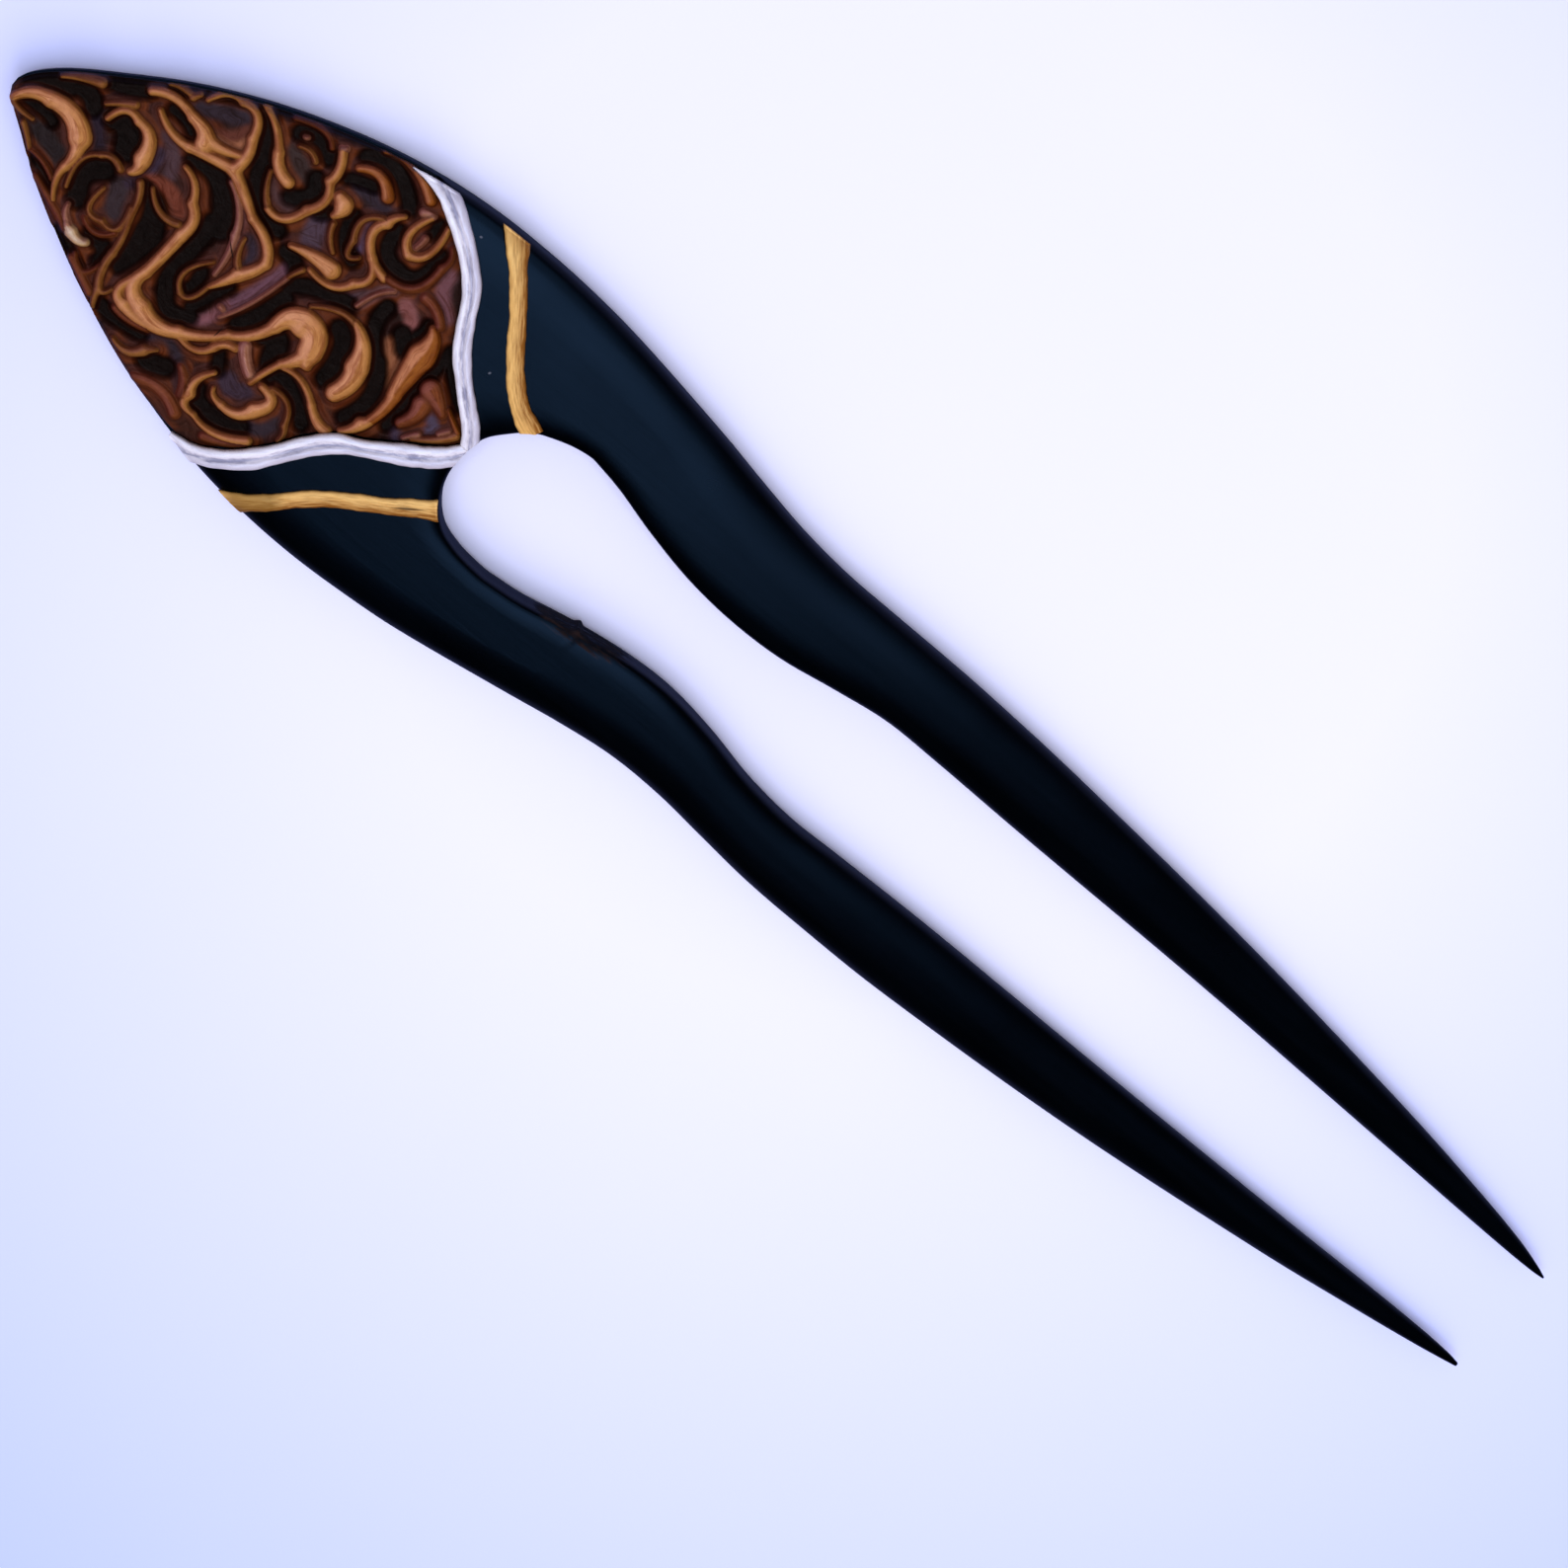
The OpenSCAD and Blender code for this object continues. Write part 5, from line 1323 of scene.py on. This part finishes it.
def strip(name, nodes, section, seed, lit, keep, material):
    """Lines over the strip and lines back under it, closed at both ends by quads between the two.
    lit is 1 where the strip's left side is painted as the lit one and -1 where its right side is, and keep
    is the side of the mitre that it stays on."""
    s, e, over, under = strip_lines(nodes, section, seed, keep)
    points = np.concatenate([over, under[:, ::-1]], axis=1)
    rows, columns = points.shape[:2]
    k = np.arange(STRIP_LINES - 1)
    across = columns - 1 - k
    first = np.stack([k + 1, k, across, across - 1], axis=-1)
    last = (rows - 1) * columns + first[:, ::-1]
    quads = np.concatenate([grid_faces(rows, columns, closed=True), first, last])
    piece = make_piece(name, points.reshape(-1, 3), quads[:, ::-1], [], material)
    length = np.linalg.norm(np.diff(along(nodes, np.linspace(0, 1, rows))[:, :2], axis=0), axis=1).sum()
    run = length * np.concatenate([s, s[:, ::-1]], axis=1)
    cross = np.broadcast_to(lit * np.concatenate([e, e[::-1]]), run.shape)
    lie = np.stack([run, cross, np.zeros_like(run)], axis=-1).reshape(-1, 3)
    layer = piece.data.attributes.new("lie", "FLOAT_VECTOR", "POINT")
    layer.data.foreach_set("vector", lie.astype(np.float32).ravel())
    return piece


print("height of a cord in its groove and on its ridge:", cord_section(np.array([0.0, 0.5])).round(2), "mm")

# %% [markdown]
# The silver is a pearly paint over the cord, pale violet in this light, with painted light on one ridge and
# painted shade on the other, a little darker in its groove and along its edges as painted shade. The gold
# is an old, brushed leaf: streaks run along the band, it is painted pale on its lit side and brown on its
# shaded side, and its edges are darker brown. The right band also has a duller end at the shoulder and a
# fine crease near the notch.

# %% Finishes of the cords and bands
# Silver: painted shaded side, painted lit side, patches, painted shade in the groove and painted shade at
# the edges
SILVER_SHADED_SIDE, SILVER_LIT_SIDE, SILVER_PATCH, SILVER_GROOVE_SHADE, SILVER_EDGE_SHADE = (
    srgb(c) for c in ("#dbd3cf", "#fff8ec", "#a59da3", "#8c8896", "#85818a"))
# What the silver's colour is multiplied by on its grain
SILVER_GRAIN = (0.7, 0.7, 0.72)
# Gold: painted shaded side, painted lit side, darker edges, dull end and crease
GOLD_SHADED_SIDE, GOLD_LIT_SIDE, GOLD_DARK_EDGES, GOLD_DULL, CREASE = (
    srgb(c) for c in ("#985c1c", "#ffc569", "#6e4212", "#7c5414", "#4a2c0a"))
GOLD_SHINE = (1.0, 0.75, 0.4, 1)
# Marks on the right band: centre on the chart, half widths, turn
DULL_END = ((34.6, -13, 4), (3.5, 2.5), 0)
CREASE_LINE = ((44.3, -5.35, 5.3), (1.9, 0.14), 36)


def lie_of(finish):
    """The strip's own coordinates, millimetres along it and -1 to 1 across it, and the second of
    them alone."""
    lie = finish.add("ShaderNodeAttribute", attribute_name="lie").outputs["Vector"]
    parts = finish.add("ShaderNodeSeparateXYZ")
    finish.feed(parts.inputs["Vector"], lie)
    return lie, parts.outputs["Y"]


def pearl_silver():
    """Painted light and shade: white on the lit ridge, greyer on the other, a grey groove and darker edges,
    with streaks along the cord.
    """
    finish = Finish("pearl_silver", 0.1, 0.5)
    lie, across = lie_of(finish)
    streaks = finish.noise(1.0, 4, 0.6, finish.scaled((0.7, 2.2, 1), lie))
    patches = finish.noise(1.0, 3, 0.6, finish.scaled((0.3, 1.2, 1), lie))
    grain = finish.noise(9.0, 4, 0.65)
    shifted = finish.math("ADD", across, finish.spread(streaks, 0.3, 0.7, -0.25, 0.25))
    # Painted light: white on the lit ridge, greyer on the other
    colour = finish.mix(finish.spread(shifted, -0.9, 0.3), SILVER_SHADED_SIDE, SILVER_LIT_SIDE)
    colour = finish.mix(finish.spread(patches, 0.45, 0.65, 0.0, 0.3), colour, SILVER_PATCH)
    # Painted shade in the groove
    groove = finish.spread(finish.math("ABSOLUTE", shifted), 0.05, 0.3, 0.8, 0.0)
    groove = finish.math("MULTIPLY", groove, finish.spread(patches, 0.35, 0.55, 0.35, 1.0))
    colour = finish.mix(groove, colour, SILVER_GROOVE_SHADE)
    # Painted shade along both edges, where the cord rounds down to the wood
    edge = finish.spread(finish.math("ABSOLUTE", across), 0.85, 1.0, 0.0, 0.6)
    edge = finish.math("MULTIPLY", edge, finish.spread(grain, 0.4, 0.6, 0.3, 1.0))
    colour = finish.mix(edge, colour, SILVER_EDGE_SHADE)
    colour = finish.mix(finish.spread(grain, 0.5, 0.7, 0.0, 0.3), colour, SILVER_GRAIN, "MULTIPLY")
    bumps = finish.bump(grain, 0.02, 0.4, finish.bump(streaks, 0.1, 0.5))
    return finish.done(colour, finish.spread(streaks, 0.3, 0.7, 0.3, 0.45), bumps)


def antique_gold():
    """Painted light and shade: pale gold on the lit side and brown on the other, streaked along the band.
    """
    finish = Finish("antique_gold", 0.15, 0.5)
    lie, across = lie_of(finish)
    streaks = finish.noise(1.0, 4, 0.6, finish.scaled((0.5, 5, 1), lie))
    cloud = finish.noise(0.7, 4)
    shifted = finish.math("ADD", across, finish.spread(streaks, 0.3, 0.7, -0.7, 0.7))
    # Painted light: pale on the lit side, brown on the shaded side
    colour = finish.mix(finish.spread(shifted, -0.9, 0.7), GOLD_SHADED_SIDE, GOLD_LIT_SIDE)
    # Darker brown along both edges
    dark_edges = finish.spread(finish.math("ABSOLUTE", across), 0.75, 1.0)
    dark_edges = finish.math("MULTIPLY", dark_edges, finish.spread(cloud, 0.3, 0.6, 0.3, 0.8))
    colour = finish.mix(dark_edges, colour, GOLD_DARK_EDGES)
    colour = finish.mix(finish.spread(finish.within(*DULL_END), 0, 0.4, 0.0, 0.6), colour, GOLD_DULL)
    colour = finish.mix(finish.spread(finish.within(*CREASE_LINE), 0.1, 0.6, 0.0, 0.85), colour, CREASE)
    finish.shader.inputs["Specular Tint"].default_value = GOLD_SHINE
    bumps = finish.bump(cloud, 0.06, 0.4, finish.bump(streaks, 0.05, 0.5))
    return finish.done(colour, finish.spread(streaks, 0.3, 0.7, 0.3, 0.42), bumps)


silver, gold = pearl_silver(), antique_gold()

# %% [markdown]
# The four strips are one function called four times. A table holds what differs: the route, the section,
# the seed of its unevenness, its side painted as the lit one, its side of the mitre and its finish.

# %% The cords and bands
# Strips: name, route, section, seed, lit side, side of the mitre, finish, node, slot
STRIPS = [
    ("cord_left", SILVER_LEFT, cord_section, 3, -1, 1, silver, "silver_cord_left", "pearl_silver"),
    ("cord_right", SILVER_RIGHT, cord_section, 5, 1, -1, silver, "silver_cord_right", "pearl_silver"),
    ("band_left", GOLD_LEFT, band_section, 7, -1, 0, gold, "gold_band_left", "antique_gold"),
    ("band_right", GOLD_RIGHT, band_section, 11, 1, 0, gold, "gold_band_right", "antique_gold")]
for name, nodes, section, seed, lit, keep, finish, node, slot in STRIPS:
    piece = strip(name, nodes, section, seed, lit, keep, finish)
    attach(piece, "root")
    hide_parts(node)

# %% [markdown]
# Last, the box of the dressed fork is set beside the box of the solids, because dressing a part
# must not change its size, and the frame is closed.

# %% Measure and finish
dressed_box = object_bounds()
for title, box in (("solids", cad_box), ("dressed", dressed_box)):
    print(title, [round(v * 1000, 2) for c in box for v in c])
